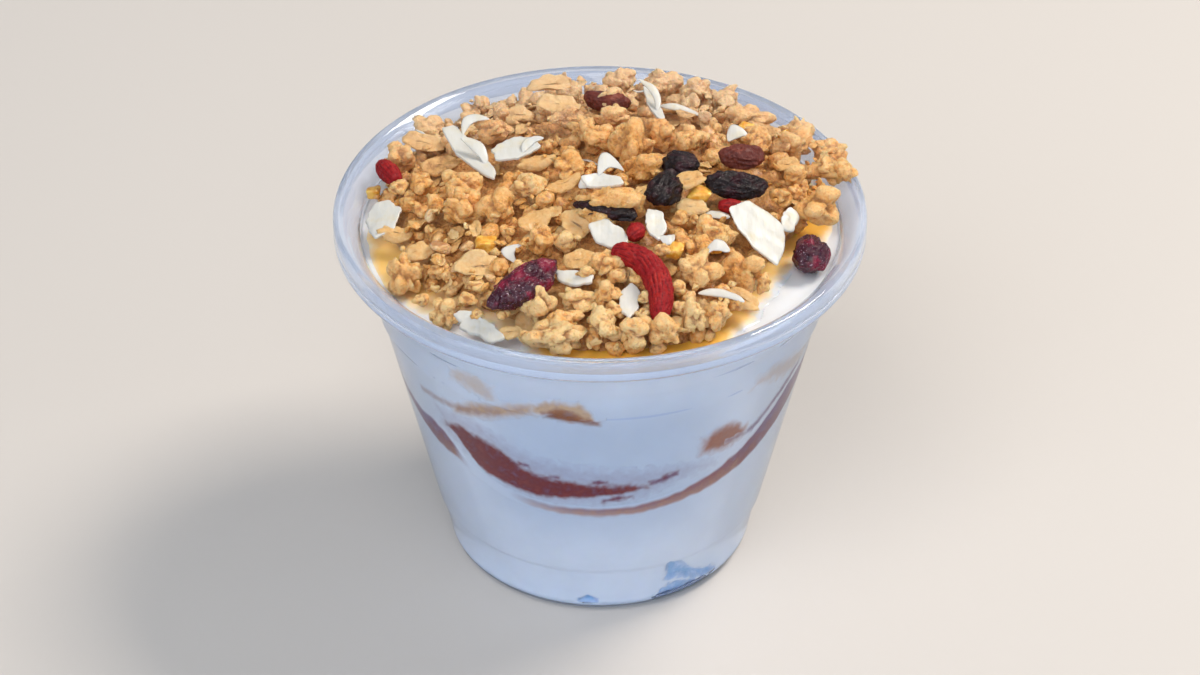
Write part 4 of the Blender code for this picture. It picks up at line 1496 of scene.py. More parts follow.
class HeightMap:
    """Top of everything laid so far, on a square grid over the cup."""

    cell = 0.4
    half = 52.0

    def __init__(self, surface: Callable[[float, float], float]) -> None:
        """Fill the grid from a surface of (x, y)."""
        self.steps = int(2 * self.half / self.cell)
        line = [(i + 0.5) * self.cell - self.half for i in range(self.steps)]
        self.top = np.array([[surface(x, y) for y in line] for x in line])
        self.taken = np.zeros_like(self.top)

    def spots(self, points: np.ndarray) -> tuple[np.ndarray, np.ndarray]:
        """Grid cells under rows of points."""
        cells = ((points[:, :2] + self.half) / self.cell).astype(int)
        cells = np.clip(cells, 0, self.steps - 1)
        return cells[:, 0], cells[:, 1]

    def read(self, x: float, y: float) -> float:
        """Height at one place."""
        return float(self.top[self.spots(np.array([[x, y]]))][0])

    def rest(self, points: np.ndarray, share: float) -> float:
        """Lift that brings a share of the lower points out of what lies there."""
        lower = points[points[:, 2] <= np.median(points[:, 2])]
        return float(np.quantile(self.top[self.spots(lower)] - lower[:, 2], share))

    def cover(self, points: np.ndarray, claim: bool = False) -> None:
        """Raise the grid to a piece's points, and claim its place if asked."""
        spots = self.spots(points)
        np.maximum.at(self.top, spots, points[:, 2])
        if claim:
            self.taken[spots] = 1.0

    def spread_claims(self, reach: int) -> None:
        """Widen the claimed cells by a number of cells.

        Args:
            reach: Number of cells.
        """
        wide = self.taken.copy()
        for dx in range(-reach, reach + 1):
            for dy in range(-reach, reach + 1):
                if dx * dx + dy * dy <= reach * reach:
                    wide = np.maximum(wide, np.roll(self.taken, (dx, dy), (0, 1)))
        self.taken = wide

    def claimed(self, points: np.ndarray) -> float:
        """Share of a piece that lies over claimed cells."""
        return float(self.taken[self.spots(points)].mean())


@dataclass(frozen=True)
class Heap:
    """Muesli heap: its core, and every loose kind laid on the core."""

    filling: Filling
    radius: float = 42.7
    chord: float = 35.5
    chord_way: float = math.radians(-30)
    edge: float = 1.2
    dome: float = 7.2
    # Mean lift of the heap, and the x + y towards its back right that doubles it.
    lean: float = 2.5
    lean_span: float = 60.8
    gap: float = 0.3
    seed: int = 23
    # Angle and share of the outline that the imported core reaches.
    drawn_back: tuple[tuple[float, float], ...] = (
        (-180, 0.93), (-165, 0.87), (-150, 0.86), (-135, 0.83), (-122, 0.80),
        (-112, 0.83), (-104, 0.91), (-95, 0.95), (-60, 0.95), (-20, 0.93), (0, 0.93),
        (20, 0.97), (160, 0.97), (180, 0.93))

    def outline(self, angle: float) -> float:
        """Radius of the heap at an angle in degrees."""
        turn = math.cos(math.radians(angle) - self.chord_way)
        return min(self.radius, self.chord / turn) if turn > 0.1 else self.radius

    def level(self, x: float, y: float) -> float:
        """Mean surface of the heap without the pieces that lie on it."""
        s = math.hypot(x, y) / self.outline(turn_of(x, y))
        dome = self.dome * max(0.0, 1 - s * s) ** 0.8
        lean = self.lean * (1 + (x + y) / self.lean_span)
        return self.filling.surface(x, y) + self.gap + self.edge + dome + lean

    def core_top(self, x: float, y: float) -> float:
        """Surface of the core, a little under the mean surface.

        Args:
            x: Place across.
            y: Place in depth.

        Returns:
            The height.
        """
        angle = turn_of(x, y)
        edge = along(self.drawn_back, angle)[0]
        s = math.hypot(x, y) / self.outline(angle)
        rest = self.filling.surface(x, y)
        if s >= edge:
            return rest - 0.2
        tall = self.level(x, y) - rest - 2.1
        return rest - 0.2 + max(0.0, tall + 0.2) * (1 - ease(s, edge - 0.10, edge))


# Clusters read from the heap: x, y, width, height across the view, extra lift.
CLUSTERS: tuple[tuple[float, ...], ...] = (
    (-34.9, -20.8, 6.7, 9.0), (-28.1, -31.8, 5.5, 6.2), (-10.9, -33.8, 6.3, 8.8),
    (-6.7, -37.0, 6.4, 5.4), (-4.2, -32.8, 7.5, 5.0), (0.9, -32.4, 5.3, 5.3),
    (-7.7, -40.0, 10.2, 6.9), (-10.5, -19.0, 5.5, 6.3), (-25.0, -7.9, 7.8, 8.4),
    (-18.1, -9.1, 6.9, 8.2), (1.2, -25.0, 5.8, 5.2), (0.9, -38.5, 5.9, 7.1),
    (6.3, -39.6, 6.0, 5.8), (11.9, -39.0, 6.6, 6.5), (16.3, -36.1, 4.9, 6.9),
    (20.6, -34.6, 5.0, 6.0), (17.0, -25.8, 7.8, 6.8), (25.6, -23.4, 9.0, 7.4),
    (20.2, -16.5, 6.8, 6.0), (5.9, 7.2, 7.9, 10.2), (-0.9, 10.3, 6.5, 6.5),
    (8.4, -0.2, 9.2, 5.8), (16.8, 10.1, 6.1, 5.7), (11.1, 11.7, 6.1, 6.5),
    (11.6, 33.9, 7.0, 5.6), (18.2, 31.6, 7.2, 5.2), (-5.7, 28.3, 5.0, 4.8),
    (27.7, 21.6, 8.6, 5.2), (28.9, 12.9, 7.1, 5.8), (36.1, 15.1, 7.8, 6.9),
    (42.3, 8.5, 8.2, 5.8), (40.2, -2.6, 8.8, 7.8), (-37.2, 15.4, 5.9, 6.2),
    (-19.7, 17.5, 7.1, 5.2), (-32.1, 26.4, 6.7, 4.6), (-25.6, -0.7, 7.5, 6.3),
    (-5.5, 0.7, 7.1, 5.6), (-13.1, -4.1, 6.3, 5.6), (-2.6, 12.7, 5.7, 7.1),
    (1.4, -12.2, 13.0, 8.4, 1.4), (22.4, -16.8, 4.8, 4.4), (2.6, 23.6, 6.6, 4.2, 1.4),
    (17.8, -20.1, 5.0, 4.4), (44.8, 7.2, 5.4, 5.0), (43.6, 14.6, 6.0, 5.0),
    (37.0, 22.0, 6.0, 5.0), (24.0, 30.0, 6.4, 5.0), (4.0, 36.5, 6.0, 4.8),
    (2.4, 17.6, 7.0, 5.0), (-6.0, 18.6, 6.4, 4.6))
# Smaller lumps read from the heap: x, y, width, height across the view.
LUMPS: tuple[tuple[float, float, float, float], ...] = (
    (-31.9, -26.9, 3.1, 2.8), (-21.8, -27.6, 4.3, 2.8), (-23.4, -29.9, 3.7, 2.6),
    (-17.2, -34.4, 2.7, 2.7), (-13.1, -39.1, 3.1, 3.1), (-6.4, -19.9, 5.9, 4.1),
    (14.5, -13.1, 3.5, 3.3), (35.6, 2.9, 5.5, 4.1), (33.0, -3.0, 4.3, 3.9),
    (-37.6, 4.0, 4.0, 3.6), (-33.0, 2.0, 4.6, 4.4), (-30.0, -4.5, 4.4, 4.0),
    (24.0, -31.0, 3.4, 3.0), (44.5, 12.8, 4.2, 4.0), (41.5, 14.6, 4.4, 4.2),
    (3.0, -28.0, 4.4, 3.4), (6.6, -29.2, 3.0, 2.6), (8.0, -33.0, 2.8, 3.0),
    (7.4, -36.6, 3.0, 3.0), (2.6, -35.4, 3.6, 3.4), (13.4, -30.6, 3.6, 3.2),
    (14.0, -34.8, 3.2, 3.4), (10.6, -22.4, 4.2, 3.4), (14.6, -19.4, 4.4, 3.4),
    (-14.6, -25.8, 4.0, 3.2), (-21.8, -33.6, 2.8, 2.4), (-2.6, -27.6, 4.0, 3.0),
    (29.2, -25.0, 3.0, 4.4))
# Oat flakes read from the heap: x, y, length, width, turn in the view.
FLAKES: tuple[tuple[float, float, float, float, float], ...] = (
    (-21.7, -22.4, 9.6, 6.6, 2), (-37.2, -8.4, 7.4, 5.0, -10), (-32.4, -15.0, 6.2, 4.6, 8),
    (-15.6, -37.2, 4.9, 3.4, 5), (-11.9, -12.7, 7.3, 6.0, 30), (-4.3, -14.4, 7.2, 6.2, -35),
    (-3.6, -23.2, 7.1, 5.2, 15), (16.6, -9.0, 6.6, 4.4, -5), (25.5, -29.0, 7.1, 4.6, -35),
    (34.6, 5.2, 5.4, 3.6, 10), (16.3, -5.9, 6.0, 4.2, 8),
    (-32.8, 19.4, 9.8, 4.8, -12), (-29.6, 9.2, 8.2, 4.6, 14), (-11.6, 5.1, 8.4, 4.6, 16),
    (-6.9, -3.3, 8.2, 4.0, 28), (-15.2, 23.0, 6.5, 4.6, 0), (-7.5, 20.9, 9.8, 5.0, -4),
    (-9.4, 29.2, 9.8, 4.4, 6), (1.9, 27.5, 7.1, 5.0, 10), (30.0, 17.5, 6.4, 4.4, -20))
# White shreds read from the heap: x, y, length, width, turn in the view.
SHREDS: tuple[tuple[float, float, float, float, float], ...] = (
    (-16.4, -20.1, 4.2, 2.6, 75), (21.6, -30.2, 8.4, 1.7, -12), (15.0, 23.2, 8.0, 1.5, -15),
    (25.0, 13.0, 4.0, 3.2, 20), (12.1, -20.8, 2.8, 2.2, 10), (-22.5, 7.9, 7.5, 2.4, -50),
    (-24.2, 17.1, 6.0, 2.2, 35), (10.3, 23.5, 8.0, 1.6, -65), (21.0, -10.6, 5.0, 1.6, -8),
    (-13.0, 8.6, 5.0, 1.8, 40), (-2.2, -3.0, 3.8, 2.6, 10), (1.2, -3.4, 4.8, 3.6, 15),
    (20.9, -21.4, 4.2, 2.6, 5))
# Small bits read from the heap: kind, x, y, width, height across the view.
BITS: tuple[tuple[str, float, float, float, float], ...] = (
    ("cube", -20.6, -16.5, 3.6, 2.8), ("cube", -42.0, 7.6, 2.6, 2.2),
    ("cube", 13.2, -22.0, 2.4, 3.6), ("cube", 20.7, -19.8, 2.2, 2.0),
    ("cube", 27.0, 16.5, 2.4, 2.4), ("cube", 18.0, -6.4, 3.2, 3.4),
    ("nut", -28.6, -14.9, 3.9, 2.9), ("nut", -23.9, -16.1, 2.6, 2.7))
# Heights near the mouth, and the radius that loose pieces keep within at each.
ROOM_HEIGHTS, ROOM_RADII = (69.0, 70.3, 73.2, 74.2), (43.6, 44.3, 46.8, 49.6)


@dataclass(frozen=True)
class Helping:
    """Pieces of one kind that fill the lowest places of the heap.

    Attributes:
        kind: Name of the kind.
        count: Pieces to try.
        sizes: Smallest and largest half size.
        ceiling: How far over the mean surface a piece may reach.
        flat: Whether the pieces lie flat.
        reach: Share of the heap's outline that is filled.
        bury: Share of the lower points that may not be buried.
        avoid: Share of a piece that may lie over a topping.
    """

    kind: str
    count: int
    sizes: tuple[float, float]
    ceiling: float
    flat: bool = False
    reach: float = 1.0
    bury: float = 0.8
    avoid: float = 0.05


UNDER = (Helping("lump", 70, (1.6, 2.5), 0.6, bury=0.6),
         Helping("puff", 70, (1.5, 2.3), 0.6, bury=0.6),
         Helping("flake", 60, (1.8, 2.8), 0.4, flat=True))
OVER = (Helping("puff", 90, (1.1, 2.2), 2.4, bury=0.7, avoid=0.15),
        Helping("lump", 70, (1.2, 2.4), 2.4, bury=0.7, avoid=0.15),
        Helping("flake", 80, (1.2, 2.2), 1.8, flat=True, avoid=0.12),
        Helping("nut", 30, (1.0, 1.7), 2.6, avoid=0.15),
        Helping("cube", 6, (0.9, 1.2), 2.2),
        Helping("shred", 14, (1.4, 2.4), 2.2, flat=True),
        Helping("crumb", 560, (0.3, 1.1), 3.0, reach=1.06, avoid=0.25))


@dataclass
class Scatter:
    """Lays the loose kinds on the heap."""

    heap: Heap
    grid: HeightMap
    rng: random.Random
    kinds: dict[str, Kind] = field(default_factory=dict)

    def prepare(self) -> None:
        """Make the shapes and finishes of every kind."""
        rng, grain = self.rng, Slot.MUESLI
        baked = Granola("granola").make()
        light = Granola("granola_small", glaze=0.15).make()
        golden = Granola("golden_puff", tan=(0.88, 0.45, 0.13), pale=(0.92, 0.58, 0.25),
                         glaze=0.4).make()
        nut = Granola("chopped_nut", brown=(0.46, 0.20, 0.07), gold=(0.80, 0.44, 0.16),
                      tan=(0.88, 0.54, 0.25), pale=(0.93, 0.68, 0.40)).make()
        rows = (
            ("cluster", "granola_clusters", 14, lambda: lump(rng, 4, 13, 5, 0.54),
             baked, grain, CLUSTER_LIMIT),
            ("lump", "granola_lumps", 14, lambda: lump(rng, 3, 8, 3, 0.56),
             baked, grain, COMMON_LIMIT),
            ("puff", "golden_puffs", 10, lambda: lump(rng, 3, 3, 1, 0.72),
             golden, grain, COMMON_LIMIT),
            ("flake", "oat_flakes", 14, lambda: flake(rng, rng.uniform(-0.1, 0.45)),
             OatFlake().make(), grain, COMMON_LIMIT),
            ("crumb", "granola_crumbs", 12, lambda: crumb(rng), light, grain, COMMON_LIMIT),
            ("nut", "chopped_nuts", 6, lambda: chopped(rng), nut, grain, RARE_LIMIT),
            ("cube", "candied_bits", 5, lambda: cube_bit(rng), CandiedBit().make(), grain,
             RARE_LIMIT),
            ("shred", "coconut_shreds", 8, lambda: shred(rng), Coconut().make(),
             Slot.COCONUT, RARE_LIMIT))
        for key, name, count, shape, finish, slot, limit in rows:
            self.kinds[key] = Kind(name, [shape() for _ in range(count)], finish, slot, limit)

    def tone(self, x: float, y: float) -> float:
        """Mean tone of the grain at a place, with a little chance, raised towards the front
        as painted light.
        """
        drift = 0.12 * rough((x, y, 0), 0.09, 7.0)
        # Painted light: paler grain towards the front; the tone falls a little towards the
        # back.
        front = -0.009 * y - 0.04 if y < 0 else -0.003 * y
        return held(0.52 + front + drift + self.rng.gauss(0, 0.14))

    def placed(self, shape: Shape, size: tuple[float, float, float],
               turn: Matrix, x: float, y: float) -> np.ndarray:
        """Scale and turn a shape and move it over a place."""
        spin = np.array(turn.to_3x3())
        return (shape.verts * np.array(size)) @ spin.T + np.array([x, y, 0.0])

    def tumble(self) -> Matrix:
        """Any rotation."""
        chance = self.rng.uniform
        return (rotation(chance(0, math.tau), "Z") @ rotation(chance(0, math.pi), "X")
                @ rotation(chance(0, math.tau), "Z"))

    def lie(self, x: float, y: float, turn: float, tilt: float) -> Matrix:
        """Rotation of a flat piece that lies on the heap's slope.

        Args:
            x: Place across.
            y: Place in depth.
            turn: Direction of its long side in radians.
            tilt: Chance lean away from the slope, in radians.

        Returns:
            The rotation.
        """
        level = self.heap.level
        normal = Vector((level(x - 1, y) - level(x + 1, y),
                         level(x, y - 1) - level(x, y + 1), 2.0)).normalized()
        slope = Vector((0, 0, 1)).rotation_difference(normal).to_matrix()
        axis = Vector((math.cos(self.rng.uniform(0, math.tau)),
                       math.sin(self.rng.uniform(0, math.tau)), 0))
        return slope @ rotation(tilt, axis) @ rotation(turn, "Z")

    def kept_in(self, points: np.ndarray) -> np.ndarray:
        """Pull a piece inwards where it would pass through the cup.

        Args:
            points: The piece's points as rows.

        Returns:
            The points, moved if they had to be.
        """
        reach = np.hypot(points[:, 0], points[:, 1])
        room = np.interp(points[:, 2], ROOM_HEIGHTS, ROOM_RADII)
        over = float((reach - room).max())
        if over > 0:
            middle = points.mean(axis=0)
            way = middle[:2] / np.hypot(middle[0], middle[1])
            points = points - np.array([way[0], way[1], 0.0]) * over
        return points

    def lay(self, kind: str, shape: Shape, points: np.ndarray, tone: float) -> None:
        """Keep a placed piece and raise the grid to it."""
        self.kinds[kind].add(shape, points, tone)
        self.grid.cover(points)
        self.grid.cover(points[shape.faces].mean(axis=1))

    def lowest(self, reach: float, tries: int = 7) -> tuple[float, float]:
        """Lowest of a few places of chance in a share of the heap's outline.

        Args:
            reach: Share of the outline.
            tries: Number of places.

        Returns:
            The place across and in depth.
        """
        best, spot = -1e9, (0.0, 0.0)
        for _ in range(tries):
            angle = self.rng.uniform(-180, 180)
            edge = along(self.heap.drawn_back, angle)[0]
            r = self.heap.outline(angle) * edge * reach * math.sqrt(self.rng.random())
            x, y = round_axis(r, angle)
            want = self.heap.level(x, y) - self.grid.read(x, y)
            if want > best:
                best, spot = want, (x, y)
        return spot

    def fill(self, helping: Helping) -> None:
        """Lay one helping, as far as its kind has room and its places allow.

        Args:
            helping: What to lay.
        """
        rng, stock = self.rng, self.kinds[helping.kind]
        for _ in range(helping.count):
            if not stock.room():
                break
            spot = self.lowest(helping.reach)
            size = rng.uniform(*helping.sizes)
            shape = stock.pick(rng)
            if helping.flat:
                wide = (size, size * rng.uniform(0.8, 1.1), size)
                turn = self.lie(*spot, rng.uniform(0, math.tau), rng.uniform(-0.5, 0.5))
            else:
                wide = (size * rng.uniform(0.85, 1.2), size, size * rng.uniform(0.7, 1.0))
                turn = self.tumble()
            points = self.placed(shape, wide, turn, *spot)
            if self.grid.claimed(points) > helping.avoid:
                continue
            points = self.kept_in(points)
            points[:, 2] += self.grid.rest(points, helping.bury)
            if points[:, 2].max() > self.heap.level(*spot) + helping.ceiling:
                continue
            self.lay(helping.kind, shape, points, self.tone(*spot))

    def named(self) -> None:
        """Lay the clusters and flakes that the heap shows in known places."""
        rng, level = self.rng, self.heap.level
        for row, kind in ([(r, "cluster") for r in CLUSTERS] + [(r, "lump") for r in LUMPS]):
            x, y, wide, tall, *lift = row
            shape = self.kinds[kind].pick(rng)
            deep = min(wide, tall) * 0.5 * rng.uniform(0.95, 1.1)
            turned = shape.verts @ np.array(self.tumble()).T
            points = turned * np.array((wide * 0.53, deep, tall * 0.50))
            points = self.kept_in(points + np.array([x, y, level(x, y) + 1.4 + sum(lift)]))
            self.lay(kind, shape, points, self.tone(x, y))
        for x, y, long, wide, turn in FLAKES:
            shape = self.kinds["flake"].pick(rng)
            face = rotation(math.radians(rng.uniform(18, 34)), "X")
            points = self.placed(shape, (long / 2.3, wide / 1.7, long / 2.3),
                                 face @ rotation(math.radians(turn), "Z"), x, y)
            lift = max(self.grid.rest(points, 0.75), level(x, y) + 0.4)
            points = self.kept_in(points + np.array([0, 0, lift]))
            self.lay("flake", shape, points, self.tone(x, y))
        for x, y, long, wide, turn in SHREDS:
            shape = self.kinds["shred"].pick(rng)
            face = rotation(math.radians(25), "X")
            points = self.placed(shape, (long / 2, wide / 0.32, long / 2),
                                 face @ rotation(math.radians(turn), "Z"), x, y)
            lift = max(self.grid.rest(points, 0.8), level(x, y) + 0.8)
            self.lay("shred", shape, self.kept_in(points + np.array([0, 0, lift])), 0.5)
        for kind, x, y, wide, tall in BITS:
            shape = self.kinds[kind].pick(rng)
            points = self.placed(shape, (wide * 0.55, (wide + tall) * 0.25, tall * 0.55),
                                 rotation(rng.uniform(-0.5, 0.5), "Y"), x, y)
            lift = min(max(self.grid.rest(points, 0.75), level(x, y)), level(x, y) + 1.4)
            self.lay(kind, shape, self.kept_in(points + np.array([0, 0, lift])), 0.6)

    def publish(self) -> None:
        """Join every kind into its piece."""
        for kind in self.kinds.values():
            if kind.parts:
                kind.publish()


def build_core(heap: Heap) -> None:
    """Make the heap's core with its relief of packed grain, in darker colours painted as the
    shade between the loose pieces.

    Args:
        heap: The heap whose core it is.
    """
    rings, sides = 80, 260
    bm = spun([(i / rings, 1.0) for i in range(rings + 1)]
              + [(1.0, 0.0), (0.6, 0.0), (0.0, 0.0)], sides)
    deep_of = bm.verts.layers.float.new("deep")
    tone_of = bm.verts.layers.float.new("tone")
    for vert in bm.verts:
        fraction, angle = min(math.hypot(vert.co.x, vert.co.y), 1.0), turn_of(*vert.co[:2])
        x, y = round_axis(fraction * heap.outline(angle), angle)
        base = heap.filling.surface(x, y) - 0.5
        top = heap.core_top(x, y)
        near = noise.voronoi(Vector((x, y, 0)) * 0.5)[0][0]
        bulge = 1.2 - 2.0 * near + 0.5 * rough((x, y, 0), 1.1, 3.0)
        share = ease(top - base, 0.3, 1.4)
        # A high crease value and a low tone: painted shade in the gaps of the heap.
        vert[deep_of] = 0.62 - 0.25 * bulge
        vert[tone_of] = 0.32 + 0.15 * rough((x, y, 0), 0.3, 1.0)
        z = base if vert.co.z < 0.5 else top + 0.75 * bulge * share
        vert.co = (x, y, z)
    bmesh.ops.recalc_face_normals(bm, faces=bm.faces)
    # Darker grain colours: painted shade where the core shows between the loose pieces.
    finish = Granola("granola_deep_painted_shade", brown=(0.34, 0.12, 0.03), gold=(0.62, 0.27, 0.065),
                     tan=(0.78, 0.42, 0.15), back_light_wash=0.25)
    publish(finish_mesh(bm, "muesli_core"), finish.make(), Slot.MUESLI, ["muesli"])


# ----------------------------------------------------------------------- toppings
@dataclass(frozen=True)
class GojiBerry:
    """Goji berry with wrinkles that run along its bent length."""

    node: str
    path: tuple[tuple[float, float], ...]
    radius: float
    lean: float = 0.0

    def frame(self, place: Vector) -> tuple[float, float]:
        """Length along the path and way off to its side, for a place.

        Args:
            place: A point of the berry.

        Returns:
            The length and the signed way off.
        """
        best, result, run = 1e9, (0.0, 0.0), 0.0
        for a, b in zip(self.path, self.path[1:]):
            start, step = Vector(a), Vector(b) - Vector(a)
            t = held((place.xy - start).dot(step) / step.length_squared)
            off = place.xy - start - step * t
            if off.length < best:
                side = step.x * off.y - step.y * off.x
                best, result = off.length, (run + t * step.length,
                                            math.copysign(off.length, side))
            run += step.length
        return result

    def build(self, node: bpy.types.Object, finish: bpy.types.Material) -> np.ndarray:
        """Wrinkle a finer copy of the CAD solid.

        Args:
            node: The CAD node that the berry stands for.
            finish: The skin.

        Returns:
            The berry's points, for the height map.
        """
        bm = solid_of(node, 0, 2, 0.2)
        deep_of = bm.verts.layers.float.new("deep")
        spots = [(v, *self.frame(v.co)) for v in bm.verts]
        runs = np.array([s[1] for s in spots])
        heights = np.array([s[0].co.z for s in spots])
        lines = np.linspace(runs.min(), runs.max(), 14)
        middles = [heights[np.abs(runs - line) < 1.4].mean() for line in lines]
        middle_y = sum(v.co.y for v in bm.verts) / len(bm.verts)
        for vert, run, side in spots:
            middle = float(np.interp(run, lines, middles))
            angle = math.atan2(vert.co.z - middle, side)
            warp = 1.8 * rough((run * 0.22, angle, 0), 1.0, self.radius)
            ridge = math.sin(16 * angle + 4 * warp) + 0.8 * math.sin(25 * angle - 6 * warp)
            fine = rough(vert.co, 1.3, 2.0)
            push = (0.045 * ridge + 0.12 * fine + 0.10) * self.radius / 2.0
            # Deep is high in the furrows, where the skin gets painted shade.
            vert[deep_of] = held(0.5 - 0.26 * ridge - 0.3 * fine)
            vert.co += vert.normal * push
            vert.co.x += self.lean * (vert.co.y - middle_y)
        return publish_topping(bm, self.node, "_skin", finish, Slot.GOJI)


@dataclass(frozen=True)
class WrinkledBerry:
    """Dried cranberry or raisin with deep folds along its length."""

    node: str
    slot: Slot
    skin: DriedFruit
    depth: float = 0.45
    pitch: float = 0.62
    stretch: float = 0.42
    swell: tuple[float, float, float] = (1.0, 1.0, 1.0)
    shift: tuple[float, float, float] = (0.0, 0.0, 0.0)
    bulge: float = 0.55

    def build(self, node: bpy.types.Object) -> np.ndarray:
        """Fold a finer copy of the CAD solid.

        Args:
            node: The CAD node that the berry stands for.

        Returns:
            The berry's points, for the height map.
        """
        bm = solid_of(node, 0, 2, 0.2)
        deep_of = bm.verts.layers.float.new("deep")
        places = np.array([tuple(v.co) for v in bm.verts])
        middle = places.mean(axis=0)
        axes = np.linalg.eigh(np.cov((places - middle).T))[1]
        local = (places - middle) @ axes[:, ::-1] * np.array([self.stretch, 1.0, 1.0])
        centre, swell, shift = Vector(middle), Vector(self.swell), Vector(self.shift)
        for vert, at in zip(bm.verts, local):
            spot = Vector(at)
            bend = spot + 0.8 * Vector((rough(spot, 0.5, 1.0), rough(spot, 0.5, 5.0), 0))
            fold = 1 - 2.4 * abs(rough(bend, self.pitch, middle[0]))
            small = 1 - 2.4 * abs(rough(bend, self.pitch * 2.1, middle[1]))
            height = 0.65 * fold + 0.35 * small
            # Deep is high in the folds, where the skin gets painted shade.
            vert[deep_of] = held(0.55 - 0.5 * height)
            push = self.depth * (height - 0.55) + self.bulge * rough(spot, 0.30, middle[1])
            vert.co = centre + (vert.co + vert.normal * push - centre) * swell
            vert.co += shift
        return publish_topping(bm, self.node, "_skin", self.skin.make(), self.slot)


@dataclass(frozen=True)
class CoconutChip:
    """Wavy coconut chip with a chipped edge."""

    node: str
    stretch: tuple[float, float] = (1.0, 1.0)
    shift: tuple[float, float, float] = (0.0, 0.0, 0.0)
    chipped: float = 1.0

    def build(self, node: bpy.types.Object, finish: bpy.types.Material) -> np.ndarray:
        """Ripple a finer copy of the CAD solid.

        Args:
            node: The CAD node that the chip stands for.
            finish: The flesh.

        Returns:
            The chip's points, for the height map.
        """
        bm = solid_of(node, 1, 2)
        middle = sum((v.co for v in bm.verts), Vector()) / len(bm.verts)
        for vert in bm.verts:
            flat = Vector((vert.co.x, vert.co.y, 0.0))
            vert.co.z += 0.26 * rough(flat, 0.40, middle.x) + 0.05 * rough(flat, 1.1, 2.0)
            away = Vector((vert.co.x - middle.x, vert.co.y - middle.y, 0.0))
            jag = 0.35 * rough(flat, 0.55, middle.y) + 0.22 * rough(flat, 1.5, middle.y)
            vert.co += away.normalized() * jag * self.chipped
            vert.co.x += (vert.co.x - middle.x) * (self.stretch[0] - 1.0)
            vert.co.y += (vert.co.y - middle.y) * (self.stretch[1] - 1.0)
            vert.co += Vector(self.shift)
        return publish_topping(bm, self.node, "_flesh", finish, Slot.COCONUT, 60.0)


class Toppings:
    """Every topping that is as large as a berry."""

    gojis = (
        GojiBerry("goji_1", ((2.4, -23.8), (5.6, -25.2), (8.6, -27.4), (10.4, -31.0),
                             (10.8, -34.8), (10.3, -38.4)), 2.6),
        GojiBerry("goji_2", ((5.4, -19.9), (6.4, -18.5), (7.4, -17.1)), 1.7),
        GojiBerry("goji_3", ((-39.6, 12.2), (-39.2, 9.2), (-38.4, 5.4)), 2.1, -0.28),
        GojiBerry("goji_4", ((21.4, -9.0), (23.6, -8.8), (25.8, -8.2)), 1.4))
    berries = (
        WrinkledBerry("cranberry_1", Slot.CRANBERRY, PLUM_SKIN, 0.42, 0.75, 0.75),
        WrinkledBerry("cranberry_2", Slot.CRANBERRY, PLUM_SKIN, 0.50, 0.50, 0.80,
                      (1.10, 1.10, 1.05), (0.2, -0.7, 0.0), 0.35),
        WrinkledBerry("raisin_1", Slot.RAISIN, BLACK_SKIN, 0.6),
        WrinkledBerry("raisin_2", Slot.CRANBERRY, BROWN_SKIN, 0.7, 0.50),
        WrinkledBerry("raisin_3", Slot.RAISIN, BLACK_SKIN, 0.6, swell=(1.3, 1.4, 1.1),
                      shift=(-0.3, -0.9, 0.2)),
        WrinkledBerry("raisin_4", Slot.RAISIN, BLACK_SKIN, 0.7, 0.50, 0.6,
                      (1.35, 1.4, 1.1), (0.5, 0.2, 0.2), 0.9),
        WrinkledBerry("raisin_5", Slot.RAISIN, BLACK_SKIN, swell=(1.35, 1.3, 1.0),
                      shift=(1.4, -1.3, -0.2)),
        WrinkledBerry("raisin_6", Slot.CRANBERRY, BROWN_SKIN))
    chips = (
        CoconutChip("coconut_chip_1", (1.02, 1.16), (0.0, 0.6, 0.6), 0.6),
        CoconutChip("coconut_chip_2", (1.30, 1.25), (0.4, 0.0, 0.3), 1.2),
        CoconutChip("coconut_chip_3"),
        CoconutChip("coconut_chip_4", (1.45, 1.1), (-1.0, 0.0, 0.3)),
        CoconutChip("coconut_chip_5", (1.20, 1.0)),
        CoconutChip("coconut_chip_6", (1.15, 1.15), chipped=1.6),
        CoconutChip("coconut_chip_7", (1.25, 1.05)),
        CoconutChip("coconut_chip_8", (1.25, 1.0), (-1.2, -0.9, 0.0)),
        CoconutChip("coconut_chip_9"),
        CoconutChip("coconut_chip_10", (1.10, 1.15), (0.0, 0.0, 0.5), 2.0),
        CoconutChip("coconut_chip_11", (1.1, 1.1), (-1.4, -1.4, -0.8)),
        CoconutChip("coconut_chip_12", (0.75, 1.0)))

    def build(self, nodes: dict[str, bpy.types.Object]) -> list[np.ndarray]:
        """Make each topping over its CAD node.

        Args:
            nodes: The CAD nodes by name.

        Returns:
            The points of each topping, for the height map.
        """
        red, white = GOJI_SKIN.make(), Coconut().make()
        points = [goji.build(nodes[goji.node], red) for goji in self.gojis]
        points += [berry.build(nodes[berry.node]) for berry in self.berries]
        points += [chip.build(nodes[chip.node], white) for chip in self.chips]
        return points


